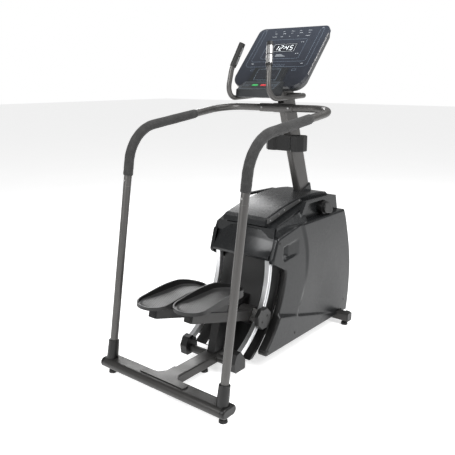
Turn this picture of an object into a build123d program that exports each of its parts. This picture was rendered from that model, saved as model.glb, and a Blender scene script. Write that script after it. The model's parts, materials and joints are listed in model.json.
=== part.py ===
from build123d import *
import os
from math import asin, atan2, cos, degrees, hypot, radians, sin, sqrt, tan

# Stair climber. Millimetres, +Z up, +X to the user's right, +Y from the user towards the console.
# The origin is on the floor, under the middle of the machine's length and width.

# ---- driving dimensions ----
overall_length = 1436
overall_width = 790
frame_clearance = 34        # floor to the underside of the rear crossbar
weld_gap = 0.2              # gap left at a joint between two welded or bolted pieces
slip = 0.3                  # gap between two pieces that only sit beside each other
running_clearance = 0.05    # radial gap of a shaft in its bore

rear_y = -overall_length / 2
front_y = overall_length / 2

# base frame
crossbar_depth = 96
crossbar_height = 48
frame_wall = 3
cap_length = 23
plug_length = 20
crossbar_y = rear_y + crossbar_depth / 2
crossbar_z = frame_clearance + crossbar_height / 2
crossbar_top = frame_clearance + crossbar_height
crossbar_end = overall_width / 2 - cap_length
beam_width = 80
beam_height = 46
beam_top = crossbar_top
beam_z = beam_top - beam_height / 2
stabiliser_size = 50
stabiliser_half_length = 302
stabiliser_y = front_y - 126
stabiliser_z = 52
saddle_half_width = 142
saddle_thickness = 5

# feet and transport wheels
foot_radius = 20
foot_pad_height = 14
stud_radius = 5
foot_travel = 12
rear_foot_x = crossbar_end - 14
front_foot_x = 276
centre_foot_y = -380
wheel_radius = 28
wheel_width = 22
wheel_axle_radius = 5
wheel_lift = 5
wheel_x = 262
wheel_y = stabiliser_y + stabiliser_size / 2 + wheel_radius + 8

# curved rails and the arc that the steps follow
arc_radius = 460
arc_y = -517
arc_z = 516
rail_x = 160
rail_width = 25
rail_thickness = 28
rail_bottom_angle = -64.5
rail_top_angle = 5
guide_clearance = 0.3
mid_angle = -36.4
rest_offset = 1.9           # the right step stands this much above the middle, the left one below
step_travel = 17            # each way from the middle

# carriage, pedal arm and pedal
carriage_inner_x = 134
carriage_outer_x = 182
carriage_wall = 18
carriage_half_angle = 4.3
cover_across_flats = 110
cover_inner_x = 174
cover_outer_x = 200
axle_radius = 14
axle_inner_x = 52
hub_radius = 46
hub_inner_x = 56
arm_x = 105
arm_width = 50
arm_height = 48
arm_wall = 4
arm_rear_drop_y = -465      # arm's rear end, measured from the hub centre
arm_rear_rise_z = 136
pedal_x = 109
pedal_width = 180
pedal_length = 404
pedal_rear_y = -528         # from the hub centre
pedal_floor_z = 172         # from the hub centre to the underside of the tread
pedal_thickness = 9
pedal_rim_height = 40
pedal_rim_width = 7
pedal_corner_radius = 86
lug_inner_x = 94
lug_thickness = 14
level_offset_y = 125        # level pin, from the hub centre
level_offset_z = -40
level_pin_radius = 6
track_bush_radius = 12
track_x = 112.5
track_thickness = 10
track_wall = 8
strap_inner_x = 81
strap_width = 12
strap_thickness = 3

# uprights and handrail
rail_tube_radius = 19
tube_wall = 2.5
upright_x = crossbar_end - 17
upright_lean = 9.6
collar_z = 930
handrail_bend_z = 1196
handrail_slope = 7.1
handrail_front_y = 230
handrail_bend_radius = 200
handrail_corner_radius = 130
boot_top_z = 171
boot_radius = 29
foam_radius = 23.5
foam_bottom_z = 981
foam_front_y = -20
clamp_half_length = 105
clamp_wall = 3.5

# mast, cup holder and console
mast_lean = 19.75
mast_width = 46
mast_depth = 112
mast_wall = 3
mast_bottom_z = 600
mast_top_z = 1385
mast_reference_y = 433      # mast axis at mast_reference_z
mast_reference_z = 1003
console_width = 440
console_height = 412
console_lean = 42.8
console_bottom_y = 106
console_bottom_z = 1397
bezel_thickness = 18
back_depth = 38
shell_wall = 3
window_width = 150
window_height = 64
window_depth = 1.5
window_v = 265              # up the face from its lower edge
shelf_rear = (100, 1421)     # upper edge of the key shelf, as (y, z)
shelf_front = (24, 1381)     # lower edge
shelf_half_width = 115
bulge_half_width = 96
key_width = 34
key_height = 15
key_gap = 0.4
key_travel = 0.8
key_proud = 1.5
key_depth = 3.5
key_x = 26
cup_z = 1050
cup_height = 85
cup_radius = 41
cup_x = 76
cup_y = 330
cup_wall = 4
handle_radius = 12.5
handle_cross_y = 300
handle_cross_z = 1350
handle_corner_x = 140
handle_rear_y = -40
handle_grip_start = (114, -15, 1480)
handle_tip = (86, 32, 1599)
handle_grip_radius = 16
plate_proud = 1.2
plate_length = 42

# shroud
shroud_half_width = 235
shell_inner_x = 184
shroud_wall = 3
notch_gap = 3
shell_corner_radius = 22
shell_brow_radius = 50
shell_top_z = 700
front_top_y = front_y - 108
hood_front_y = front_y - 130
pod_front_y = front_y - 138
front_bottom_y = front_y - 22
front_bottom_z = 48
front_widest_z = 285
shell_edge_rounding = 12
casing_half_width = 182
casing_radius = arc_radius + 70
shell_edge_radius = casing_radius + 15
casing_bottom_z = 62
casing_top_z = 545
slot_x = lug_inner_x + lug_thickness / 2
slot_width = lug_thickness + 6
hood_half_width = 182
pod_half_width = 132
hub_y = 408
hub_z = 744
hub_cover_radius = 38
hub_cover_inner_x = 185

# drive
shaft_radius = 12
shaft_half_length = 206
drum_radius = 30
drum_flange_radius = 38
drum_flange = 2
pulley_radius = 42
pulley_x = 5
pulley_width = 20
flywheel_y = 400
flywheel_z = 330
flywheel_radius = 120
flywheel_x = -33
flywheel_thickness = 22
flywheel_pulley_radius = 22
flywheel_axle_radius = 10
belt_width = 16
belt_thickness = 3
belt_gap = 0.3
plate_thickness = 6
plate_x = beam_width / 2 + weld_gap

side_angle = {"left": mid_angle - rest_offset, "right": mid_angle + rest_offset}
side_sign = {"left": -1, "right": 1}

os.makedirs("parts", exist_ok=True)


def save(part, name):
    """Label a finished sub-part and write it to its own file."""
    part.label = name
    export_step(part, f"parts/{name}.step")


def arc_point(angle, radius=arc_radius, centre=(arc_y, arc_z)):
    """(y, z) on the step arc; the angle is measured up from the horizontal."""
    return (centre[0] + radius * cos(radians(angle)), centre[1] + radius * sin(radians(angle)))


def arc_at_height(radius, z):
    """y on the front side of a circle about the step arc's centre, at height z."""
    return arc_y + sqrt(radius**2 - (z - arc_z) ** 2)


def band_sketch(inner, outer, low_angle, high_angle, centre=(arc_y, arc_z)):
    """Closed outline of a curved band between two radii about a centre, on the current plane."""
    middle = (low_angle + high_angle) / 2
    with BuildLine() as outline:
        ThreePointArc(*[arc_point(a, inner, centre) for a in (low_angle, middle, high_angle)])
        Line(arc_point(high_angle, inner, centre), arc_point(high_angle, outer, centre))
        ThreePointArc(*[arc_point(a, outer, centre) for a in (high_angle, middle, low_angle)])
        Line(arc_point(low_angle, outer, centre), arc_point(low_angle, inner, centre))
    make_face(outline.edges())


# ---------------------------------------------------------------- base frame

def rear_crossbar():
    """Flat-oval tube across the rear, with a hole for each foot's stud."""
    with BuildPart() as crossbar:
        with BuildSketch(Plane.YZ.offset(-crossbar_end)):
            with Locations((crossbar_y, crossbar_z)):
                SlotOverall(crossbar_depth, crossbar_height)
                SlotOverall(crossbar_depth - 2 * frame_wall, crossbar_height - 2 * frame_wall,
                            mode=Mode.SUBTRACT)
        extrude(amount=2 * crossbar_end)
        with BuildSketch(Plane.XY.offset(frame_clearance)):
            with Locations((-rear_foot_x, crossbar_y), (rear_foot_x, crossbar_y)):
                Circle(stud_radius + running_clearance)
        extrude(amount=frame_wall, mode=Mode.SUBTRACT)
    save(crossbar.part, "rear_crossbar")


def end_caps():
    """Plastic plugs in the ends of the rear crossbar and of the front stabiliser."""
    bore_depth = crossbar_depth - 2 * (frame_wall + slip)
    bore_height = crossbar_height - 2 * (frame_wall + slip)
    bore_size = stabiliser_size - 2 * (frame_wall + slip)
    with BuildPart() as caps:
        with BuildSketch(Plane.YZ.offset(crossbar_end)):
            with Locations((crossbar_y, crossbar_z)):
                SlotOverall(crossbar_depth, crossbar_height)
        extrude(amount=cap_length)
        fillet(caps.faces().sort_by(Axis.X)[-1].edges(), 9)
        with BuildSketch(Plane.YZ.offset(crossbar_end)):
            with Locations((crossbar_y, crossbar_z)):
                SlotOverall(bore_depth, bore_height)
        extrude(amount=-(crossbar_end - rear_foot_x - stud_radius - 1))
        with BuildSketch(Plane.YZ.offset(stabiliser_half_length)):
            with Locations((stabiliser_y, stabiliser_z)):
                RectangleRounded(stabiliser_size, stabiliser_size, 8)
        extrude(amount=8)
        with BuildSketch(Plane.YZ.offset(stabiliser_half_length)):
            with Locations((stabiliser_y, stabiliser_z)):
                RectangleRounded(bore_size, bore_size, 4)
        extrude(amount=-plug_length / 2)
        mirror(about=Plane.YZ)
    save(caps.part, "frame_end_caps")


def main_beam():
    """Box beam from the rear crossbar to the front stabiliser, with the cross tube of the rail feet."""
    cross_radius = 21
    cross_y = arc_point(rail_bottom_angle)[0] + 4
    start = crossbar_y
    end = stabiliser_y - stabiliser_size / 2 - weld_gap
    with BuildPart() as beam:
        with BuildSketch(Plane.XZ.offset(-start)):
            with Locations((0, beam_z)):
                RectangleRounded(beam_width, beam_height, 6)
        extrude(amount=-(end - start))
        with BuildSketch(Plane.YZ.offset(-carriage_inner_x - 5)):
            with Locations((cross_y, beam_z)):
                Circle(cross_radius)
        extrude(amount=2 * (carriage_inner_x + 5))
        with BuildSketch(Plane.XZ.offset(-start)):
            with Locations((0, beam_z)):
                RectangleRounded(beam_width - 2 * frame_wall, beam_height - 2 * frame_wall, 3)
        extrude(amount=-(end - start), mode=Mode.SUBTRACT)
        with BuildSketch(Plane.YZ.offset(-beam_width)):
            with Locations((crossbar_y, crossbar_z)):
                SlotOverall(crossbar_depth + 2 * weld_gap, crossbar_height + 2 * weld_gap)
        extrude(amount=2 * beam_width, mode=Mode.SUBTRACT)
        with BuildSketch(Plane.XY.offset(beam_z - beam_height / 2)):
            with Locations((0, centre_foot_y)):
                Circle(stud_radius + running_clearance)
        extrude(amount=frame_wall, mode=Mode.SUBTRACT)
    save(beam.part, "main_beam")


def crossbar_saddle():
    """Bent plate that ties the beam to the top of the rear crossbar."""
    rear_edge = crossbar_y - 18
    front_edge = crossbar_y + crossbar_depth / 2 + 70
    neck = beam_width / 2
    with BuildPart() as saddle:
        with BuildSketch(Plane.XY.offset(crossbar_top + weld_gap)):
            with BuildLine():
                Polyline(
                    (-saddle_half_width, rear_edge),
                    (saddle_half_width, rear_edge),
                    (saddle_half_width, crossbar_y + 22),
                    (neck + 25, crossbar_y + 30),
                    (neck, crossbar_y + 62),
                    (neck, front_edge),
                    (-neck, front_edge),
                    (-neck, crossbar_y + 62),
                    (-neck - 25, crossbar_y + 30),
                    (-saddle_half_width, crossbar_y + 22),
                    close=True,
                )
            make_face()
        extrude(amount=saddle_thickness)
        fillet(saddle.edges().filter_by(Axis.Z), 9)
        fillet(saddle.faces().sort_by(Axis.Z)[-1].edges(), 2)
    save(saddle.part, "crossbar_saddle")


def front_stabiliser():
    """Square tube across the front, with holes for the studs of the front feet."""
    with BuildPart() as stabiliser:
        with BuildSketch(Plane.YZ.offset(-stabiliser_half_length)):
            with Locations((stabiliser_y, stabiliser_z)):
                RectangleRounded(stabiliser_size, stabiliser_size, 8)
                RectangleRounded(stabiliser_size - 2 * frame_wall, stabiliser_size - 2 * frame_wall, 5,
                                 mode=Mode.SUBTRACT)
        extrude(amount=2 * stabiliser_half_length)
        with BuildSketch(Plane.XY.offset(stabiliser_z - stabiliser_size / 2)):
            with Locations((-front_foot_x, stabiliser_y), (front_foot_x, stabiliser_y)):
                Circle(stud_radius + running_clearance)
        extrude(amount=frame_wall, mode=Mode.SUBTRACT)
    save(stabiliser.part, "front_stabiliser")


def levelling_foot(name, x, y, tube_bottom, tube_height):
    """Rubber-faced pad on a stud that screws into the underside of a tube."""
    stud_top = tube_bottom + tube_height - frame_wall - slip
    neck_top = tube_bottom - slip
    with BuildPart() as foot:
        with BuildSketch(Plane.XY):
            with Locations((x, y)):
                Circle(foot_radius)
        extrude(amount=foot_pad_height, taper=8)
        with BuildSketch(Plane.XY.offset(foot_pad_height)):
            with Locations((x, y)):
                RegularPolygon(stud_radius + 4, 6)
        extrude(amount=neck_top - foot_pad_height)
        with BuildSketch(Plane.XY.offset(foot_pad_height)):
            with Locations((x, y)):
                Circle(stud_radius)
        extrude(amount=stud_top - foot_pad_height)
    save(foot.part, name)


def feet():
    """The four feet at the corners and the one under the middle of the beam."""
    stabiliser_bottom = stabiliser_z - stabiliser_size / 2
    for side, sign in side_sign.items():
        levelling_foot(f"{side}_rear_foot", sign * rear_foot_x, crossbar_y, frame_clearance, crossbar_height)
        levelling_foot(f"{side}_front_foot", sign * front_foot_x, stabiliser_y, stabiliser_bottom,
                       stabiliser_size)
    levelling_foot("centre_foot", 0, centre_foot_y, beam_z - beam_height / 2, beam_height)


def transport_wheel(name, sign):
    """Wheel ahead of the stabiliser that meets the floor when the rear is lifted."""
    with BuildPart() as wheel:
        with BuildSketch(Plane.YZ.offset(sign * wheel_x - wheel_width / 2)):
            with Locations((wheel_y, wheel_radius + wheel_lift)):
                Circle(wheel_radius)
                Circle(wheel_axle_radius + running_clearance, mode=Mode.SUBTRACT)
        extrude(amount=wheel_width)
        fillet(wheel.edges().filter_by(GeomType.CIRCLE).sort_by(SortBy.RADIUS)[-2:], 4)
    save(wheel.part, name)


def wheel_brackets():
    """Fork and axle of each transport wheel, bolted to the front of the stabiliser."""
    face_y = stabiliser_y + stabiliser_size / 2 + weld_gap
    centre_z = wheel_radius + wheel_lift
    cheek = 5
    inner = wheel_x - wheel_width / 2 - 1
    outer = wheel_x + wheel_width / 2 + 1
    with BuildPart() as brackets:
        for start in (inner - cheek, outer):
            with BuildSketch(Plane.YZ.offset(start)):
                with BuildLine():
                    Polyline(
                        (face_y, stabiliser_z - 20),
                        (wheel_y, centre_z - 12),
                        (wheel_y + 12, centre_z),
                        (wheel_y, centre_z + 12),
                        (face_y, stabiliser_z + 20),
                        close=True,
                    )
                make_face()
            extrude(amount=cheek)
        with BuildSketch(Plane.YZ.offset(inner - cheek)):
            with Locations((face_y + 2, stabiliser_z)):
                Rectangle(4, 40)
        extrude(amount=outer - inner + 2 * cheek)
        with BuildSketch(Plane.YZ.offset(inner - cheek)):
            with Locations((wheel_y, centre_z)):
                Circle(wheel_axle_radius)
        extrude(amount=outer - inner + 2 * cheek)
        mirror(about=Plane.YZ)
    save(brackets.part, "wheel_brackets")


# ---------------------------------------------------------------- rails and steps

def rails():
    """Pair of curved rails that the carriages run on."""
    inner = arc_radius - rail_thickness / 2
    outer = arc_radius + rail_thickness / 2
    with BuildPart() as pair:
        with BuildSketch(Plane.YZ.offset(rail_x - rail_width / 2)):
            band_sketch(inner, outer, rail_bottom_angle, rail_top_angle)
        extrude(amount=rail_width)
        with BuildSketch(Plane.YZ.offset(rail_x + rail_width / 2)):
            band_sketch(arc_radius - 4, arc_radius + 4, rail_bottom_angle, rail_top_angle)
        extrude(amount=-3, mode=Mode.SUBTRACT)
        mirror(about=Plane.YZ)
    save(pair.part, "rails")


def rail_brackets():
    """Castings that hold the rails' lower ends on the ends of the cross tube."""
    foot_y, foot_z = arc_point(rail_bottom_angle)
    inner = carriage_inner_x + 5 + weld_gap
    with BuildPart() as brackets:
        with BuildSketch(Plane.YZ.offset(inner)):
            with BuildLine():
                Polyline(
                    (foot_y - 38, frame_clearance),
                    (foot_y + 42, frame_clearance),
                    (foot_y + 44, foot_z - 22),
                    (foot_y + 8, foot_z + 34),
                    (foot_y - 24, foot_z + 26),
                    (foot_y - 44, foot_z - 16),
                    close=True,
                )
            make_face()
            fillet(vertices(), 9)
        extrude(amount=rail_x + rail_width / 2 + 8 - inner)
        with BuildSketch(Plane.YZ.offset(rail_x - rail_width / 2 - slip)):
            band_sketch(arc_radius - rail_thickness / 2 - slip, arc_radius + rail_thickness / 2 + slip,
                        rail_bottom_angle - 0.05, rail_bottom_angle + 12)
        extrude(amount=rail_width + 2 * slip, mode=Mode.SUBTRACT)
        mirror(about=Plane.YZ)
    save(brackets.part, "rail_brackets")


def stop_bumpers():
    """Rubber knobs on the inner side of the rails' feet that end the downward travel."""
    foot_y, foot_z = arc_point(rail_bottom_angle + 2.2)
    with BuildPart() as bumpers:
        with BuildSketch(Plane.YZ.offset(carriage_inner_x + 5)):
            with Locations((foot_y, foot_z + 2)):
                Circle(11)
        extrude(amount=-12)
        fillet(bumpers.faces().sort_by(Axis.X)[0].edges(), 4)
        mirror(about=Plane.YZ)
    save(bumpers.part, "stop_bumpers")


def level_tracks():
    """Curved guide plates, the same arc as the rails set forward and down, that keep the pedals level."""
    centre = (arc_y + level_offset_y, arc_z + level_offset_z)
    slot_half = track_bush_radius + guide_clearance
    low = mid_angle - step_travel - 5
    high = mid_angle + step_travel + 5
    with BuildPart() as tracks:
        with BuildSketch(Plane.YZ.offset(track_x)):
            band_sketch(arc_radius - slot_half - track_wall, arc_radius + slot_half + track_wall,
                        low - 1.5, high + 1.5, centre)
        extrude(amount=track_thickness)
        with BuildSketch(Plane.YZ.offset(track_x)):
            band_sketch(arc_radius - slot_half, arc_radius + slot_half, low, high, centre)
        extrude(amount=track_thickness, mode=Mode.SUBTRACT)
        mirror(about=Plane.YZ)
    save(tracks.part, "level_tracks")


def carriage(side):
    """Sleeve that slides on a curved rail, with the axle that the pedal arm turns on."""
    sign = side_sign[side]
    angle = side_angle[side]
    centre = arc_point(angle)
    half_rail = rail_thickness / 2 + guide_clearance
    with BuildPart() as block:
        with BuildSketch(Plane.YZ.offset(sign * carriage_inner_x)):
            band_sketch(arc_radius - half_rail - carriage_wall, arc_radius + half_rail + carriage_wall,
                        angle - carriage_half_angle, angle + carriage_half_angle)
        extrude(amount=sign * (carriage_outer_x - carriage_inner_x))
        with BuildSketch(Plane.YZ.offset(sign * (rail_x - rail_width / 2 - guide_clearance))):
            band_sketch(arc_radius - half_rail, arc_radius + half_rail,
                        angle - carriage_half_angle - 1, angle + carriage_half_angle + 1)
        extrude(amount=sign * (rail_width + 2 * guide_clearance), mode=Mode.SUBTRACT)
        with BuildSketch(Plane.YZ.offset(sign * carriage_inner_x)):
            with Locations(centre):
                Circle(axle_radius)
        extrude(amount=-sign * (carriage_inner_x - axle_inner_x))
    save(block.part, f"{side}_carriage")


def carriage_cover(side):
    """Octagonal cap over the outer end of a carriage."""
    sign = side_sign[side]
    angle = side_angle[side]
    half_rail = rail_thickness / 2 + guide_clearance
    reach = half_rail + carriage_wall + slip
    across_corners = cover_across_flats / 2 / cos(radians(22.5))
    with BuildPart() as cover:
        with BuildSketch(Plane.YZ.offset(sign * cover_inner_x)):
            with Locations(arc_point(angle)):
                RegularPolygon(across_corners, 8, rotation=22.5)
        extrude(amount=sign * (cover_outer_x - cover_inner_x))
        outer_face = cover.faces().sort_by(Axis.X)[-1 if sign > 0 else 0]
        chamfer(outer_face.edges(), 5)
        with BuildSketch(Plane.YZ.offset(sign * cover_inner_x)):
            band_sketch(arc_radius - reach, arc_radius + reach,
                        angle - carriage_half_angle - 0.1, angle + carriage_half_angle + 0.1)
        extrude(amount=sign * (carriage_outer_x + slip - cover_inner_x), mode=Mode.SUBTRACT)
    save(cover.part, f"{side}_carriage_cover")


def pedal_arm(side):
    """Hub on the carriage's axle, box arm to the rear and, ahead, the lug with the level pin."""
    sign = side_sign[side]
    y, z = arc_point(side_angle[side])
    tilt = degrees(atan2(-arm_rear_rise_z, -arm_rear_drop_y))
    length = hypot(arm_rear_drop_y, arm_rear_rise_z)
    middle = (y + arm_rear_drop_y / 2, z + arm_rear_rise_z / 2)
    lug_length = hypot(level_offset_y, level_offset_z)
    lug_tilt = degrees(atan2(level_offset_z, level_offset_y))
    hub_outer_x = carriage_inner_x - 2
    pin = (y + level_offset_y, z + level_offset_z)
    solid_length = hub_radius + arm_wall
    with BuildPart() as arm:
        with BuildSketch(Plane.YZ.offset(sign * (arm_x - arm_width / 2))):
            with Locations(Location(middle, tilt)):
                RectangleRounded(length, arm_height, 5)
        extrude(amount=sign * arm_width)
        with BuildSketch(Plane.YZ.offset(sign * (arm_x - arm_width / 2 + arm_wall))):
            with Locations(Location(middle, tilt)):
                with Locations((-solid_length, 0)):
                    Rectangle(length, arm_height - 2 * arm_wall)
        extrude(amount=sign * (arm_width - 2 * arm_wall), mode=Mode.SUBTRACT)
        with BuildSketch(Plane.YZ.offset(sign * hub_inner_x)):
            with Locations((y, z)):
                Circle(hub_radius)
        extrude(amount=sign * (hub_outer_x - hub_inner_x))
        with BuildSketch(Plane.YZ.offset(sign * lug_inner_x)):
            with Locations(Location((y + level_offset_y / 2, z + level_offset_z / 2), lug_tilt)):
                SlotOverall(lug_length + 24, 24)
        extrude(amount=sign * lug_thickness)
        with BuildSketch(Plane.YZ.offset(sign * (strap_inner_x - 1))):
            with Locations(pin):
                Circle(level_pin_radius)
        extrude(amount=sign * (track_x + track_thickness - strap_inner_x + 1))
        with BuildSketch(Plane.YZ.offset(sign * (lug_inner_x + lug_thickness))):
            with Locations(pin):
                Circle(track_bush_radius)
        extrude(amount=sign * (track_x + track_thickness - lug_inner_x - lug_thickness))
        with BuildSketch(Plane.YZ.offset(sign * (hub_inner_x - 2))):
            with Locations((y, z)):
                Circle(axle_radius + running_clearance)
        extrude(amount=sign * (hub_outer_x - hub_inner_x + 4), mode=Mode.SUBTRACT)
    save(arm.part, f"{side}_pedal_arm")


def pedal(side):
    """Long foot tray with a raised rim, carried on the arm by a rib under its floor."""
    sign = side_sign[side]
    y, z = arc_point(side_angle[side])
    heel = y + pedal_rear_y
    toe = heel + pedal_length
    middle = (heel + toe) / 2
    floor = z + pedal_floor_z
    tilt = degrees(atan2(-arm_rear_rise_z, -arm_rear_drop_y))
    arm_length = hypot(arm_rear_drop_y, arm_rear_rise_z)
    arm_middle = (y + arm_rear_drop_y / 2, z + arm_rear_rise_z / 2)
    with BuildPart() as tray:
        with BuildSketch(Plane.XY.offset(floor)):
            with Locations((sign * pedal_x, middle)):
                RectangleRounded(pedal_width, pedal_length, pedal_corner_radius)
        extrude(amount=pedal_rim_height)
        with BuildSketch(Plane.XY.offset(floor + pedal_thickness)):
            with Locations((sign * pedal_x, middle)):
                RectangleRounded(pedal_width - 2 * pedal_rim_width, pedal_length - 2 * pedal_rim_width,
                                 pedal_corner_radius - pedal_rim_width)
        extrude(amount=pedal_rim_height, mode=Mode.SUBTRACT)
        with BuildSketch(Plane.YZ.offset(sign * (pedal_x - pedal_width))):
            with BuildLine():
                Spline(
                    (heel - 20, floor + pedal_thickness + 9),
                    (heel + 60, floor + pedal_thickness + 10),
                    (heel + 210, floor + pedal_rim_height - 3),
                    (toe - 130, floor + pedal_rim_height - 1),
                    (toe + 20, floor + pedal_thickness + 10),
                )
                Polyline(
                    (toe + 20, floor + pedal_thickness + 10),
                    (toe + 20, floor + 2 * pedal_rim_height),
                    (heel - 20, floor + 2 * pedal_rim_height),
                    (heel - 20, floor + pedal_thickness + 9),
                )
            make_face()
        extrude(amount=sign * 2 * pedal_width, mode=Mode.SUBTRACT)
        with BuildSketch(Plane.YZ.offset(sign * (arm_x - arm_width / 2 + 5))):
            with BuildLine():
                Polyline(
                    (y + arm_rear_drop_y + 30, floor),
                    (y - 190, floor),
                    (y - 215, floor - 95),
                    (y + arm_rear_drop_y + 30, floor - 60),
                    close=True,
                )
            make_face()
        extrude(amount=sign * (arm_width - 10))
        with BuildSketch(Plane.YZ.offset(sign * (arm_x - arm_width))):
            with Locations(Location(arm_middle, tilt)):
                RectangleRounded(arm_length + weld_gap, arm_height + 2 * weld_gap, 5)
            with Locations(Location((arm_middle[0], arm_middle[1] - arm_height), tilt)):
                Rectangle(arm_length + weld_gap, 2 * arm_height)
        extrude(amount=sign * 2 * arm_width, mode=Mode.SUBTRACT)
    save(tray.part, f"{side}_pedal")


# ---------------------------------------------------------------- uprights and handrail

def upright_point(z):
    """Centre of an upright at height z, as (y, z)."""
    return (crossbar_y + (z - crossbar_top) * tan(radians(upright_lean)), z)


def upright_plane(x, z):
    """Plane square to an upright, at height z."""
    y = upright_point(z)[0]
    return Plane(origin=(x, y, z), x_dir=(1, 0, 0),
                 z_dir=(0, sin(radians(upright_lean)), cos(radians(upright_lean))))


def uprights():
    """Pair of leaning tubes from the rear crossbar to the handrail's collars."""
    length = (collar_z - crossbar_top) / cos(radians(upright_lean))
    overlap = 30
    with BuildPart() as pair:
        with BuildSketch(upright_plane(upright_x, crossbar_top)):
            Circle(rail_tube_radius)
            Circle(rail_tube_radius - tube_wall, mode=Mode.SUBTRACT)
        extrude(amount=length)
        with BuildSketch(upright_plane(upright_x, crossbar_top)):
            Circle(rail_tube_radius)
            Circle(rail_tube_radius - tube_wall, mode=Mode.SUBTRACT)
        extrude(amount=-overlap)
        split(bisect_by=Plane.XY.offset(crossbar_top + weld_gap), keep=Keep.TOP)
        mirror(about=Plane.YZ)
    save(pair.part, "uprights")


def upright_boots():
    """Plastic covers round the feet of the uprights, shaped to the crossbar."""
    height = (boot_top_z - crossbar_z) / cos(radians(upright_lean))
    with BuildPart() as boots:
        with BuildSketch(upright_plane(upright_x, crossbar_z)):
            Circle(boot_radius)
        extrude(amount=height, taper=1.5)
        fillet(boots.faces().sort_by(Axis.Z)[-1].edges(), 3)
        with BuildSketch(upright_plane(upright_x, crossbar_z)):
            Circle(rail_tube_radius + slip)
        extrude(amount=height, mode=Mode.SUBTRACT)
        with BuildSketch(Plane.YZ.offset(upright_x - 2 * boot_radius)):
            with Locations((crossbar_y, crossbar_z)):
                SlotOverall(crossbar_depth + 2 * slip, crossbar_height + 2 * slip)
            with Locations((crossbar_y, crossbar_z - crossbar_height)):
                Rectangle(crossbar_depth + 2 * boot_radius, 2 * crossbar_height)
        extrude(amount=4 * boot_radius, mode=Mode.SUBTRACT)
        mirror(about=Plane.YZ)
    save(boots.part, "upright_boots")


def handrail_corner():
    """(y, z) where an upright's line meets the sloping side of the handrail."""
    return upright_point(handrail_bend_z)


def handrail_front_z():
    """Height of the handrail's front bar."""
    corner_y, corner_z = handrail_corner()
    return corner_z + (handrail_front_y - corner_y) * tan(radians(handrail_slope))


def handrail():
    """One bent tube: up from both collars, forward along both sides and across in front of the mast."""
    start = upright_point(collar_z + weld_gap)
    corner = handrail_corner()
    front = (handrail_front_y, handrail_front_z())
    stations = [(-upright_x, *start), (-upright_x, *corner), (-upright_x, *front)]
    stations += [(-x, y, z) for x, y, z in reversed(stations)]
    radii = [handrail_bend_radius, handrail_corner_radius, handrail_corner_radius, handrail_bend_radius]
    spigot_radius = rail_tube_radius - tube_wall - running_clearance
    with BuildPart() as rail:
        with BuildLine() as route:
            FilletPolyline(*stations, radius=radii)
        with BuildSketch(upright_plane(-upright_x, collar_z + weld_gap)):
            Circle(rail_tube_radius)
            Circle(rail_tube_radius - tube_wall, mode=Mode.SUBTRACT)
        sweep(path=route.wires()[0])
        for x in (-upright_x, upright_x):
            with BuildSketch(upright_plane(x, collar_z + 25)):
                Circle(spigot_radius + running_clearance)
                Circle(spigot_radius - tube_wall, mode=Mode.SUBTRACT)
            extrude(amount=-25 / cos(radians(upright_lean)))
            with BuildSketch(upright_plane(x, collar_z + 1)):
                Circle(spigot_radius)
                Circle(spigot_radius - tube_wall, mode=Mode.SUBTRACT)
            extrude(amount=-60)
    save(rail.part, "handrail")


def foam_grip(side):
    """Foam sleeve round the bend of the handrail."""
    x = side_sign[side] * upright_x
    start = upright_point(foam_bottom_z)
    corner = handrail_corner()
    end = (foam_front_y, corner[1] + (foam_front_y - corner[0]) * tan(radians(handrail_slope)))
    with BuildPart() as grip:
        with BuildLine() as route:
            FilletPolyline((x, *start), (x, *corner), (x, *end), radius=handrail_bend_radius)
        with BuildSketch(upright_plane(x, foam_bottom_z)):
            Circle(foam_radius)
            Circle(rail_tube_radius + running_clearance, mode=Mode.SUBTRACT)
        sweep(path=route.wires()[0])
    save(grip.part, f"{side}_foam_grip")


def handrail_clamp():
    """Sleeve round the front bar with the block that bolts it to the mast."""
    z = handrail_front_z()
    sleeve_radius = rail_tube_radius + clamp_wall
    block_half_height = 24
    with BuildPart() as clamp:
        with BuildSketch(Plane.YZ.offset(-clamp_half_length)):
            with Locations((handrail_front_y, z)):
                Circle(sleeve_radius)
        extrude(amount=2 * clamp_half_length)
        with BuildSketch(Plane.YZ.offset(-mast_width / 2)):
            with BuildLine():
                Polyline(
                    (handrail_front_y, z - block_half_height),
                    (mast_face_y(z - block_half_height, -1) - weld_gap, z - block_half_height),
                    (mast_face_y(z + block_half_height, -1) - weld_gap, z + block_half_height),
                    (handrail_front_y, z + block_half_height),
                    close=True,
                )
            make_face()
        extrude(amount=mast_width)
        with BuildSketch(Plane.YZ.offset(-clamp_half_length)):
            with Locations((handrail_front_y, z)):
                Circle(rail_tube_radius + running_clearance)
        extrude(amount=2 * clamp_half_length, mode=Mode.SUBTRACT)
    save(clamp.part, "handrail_clamp")


# ---------------------------------------------------------------- mast, cup holder, console

def mast_y(z):
    """y of the mast's axis at height z."""
    return mast_reference_y - (z - mast_reference_z) * tan(radians(mast_lean))


def mast_face_y(z, side):
    """y of the mast's rear (-1) or front (+1) face at height z."""
    return mast_y(z) + side * mast_depth / 2 / cos(radians(mast_lean))


def mast_plane(z):
    """Plane square to the mast at height z on its axis."""
    return Plane(origin=(0, mast_y(z), z), x_dir=(1, 0, 0),
                 z_dir=(0, -sin(radians(mast_lean)), cos(radians(mast_lean))))


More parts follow.
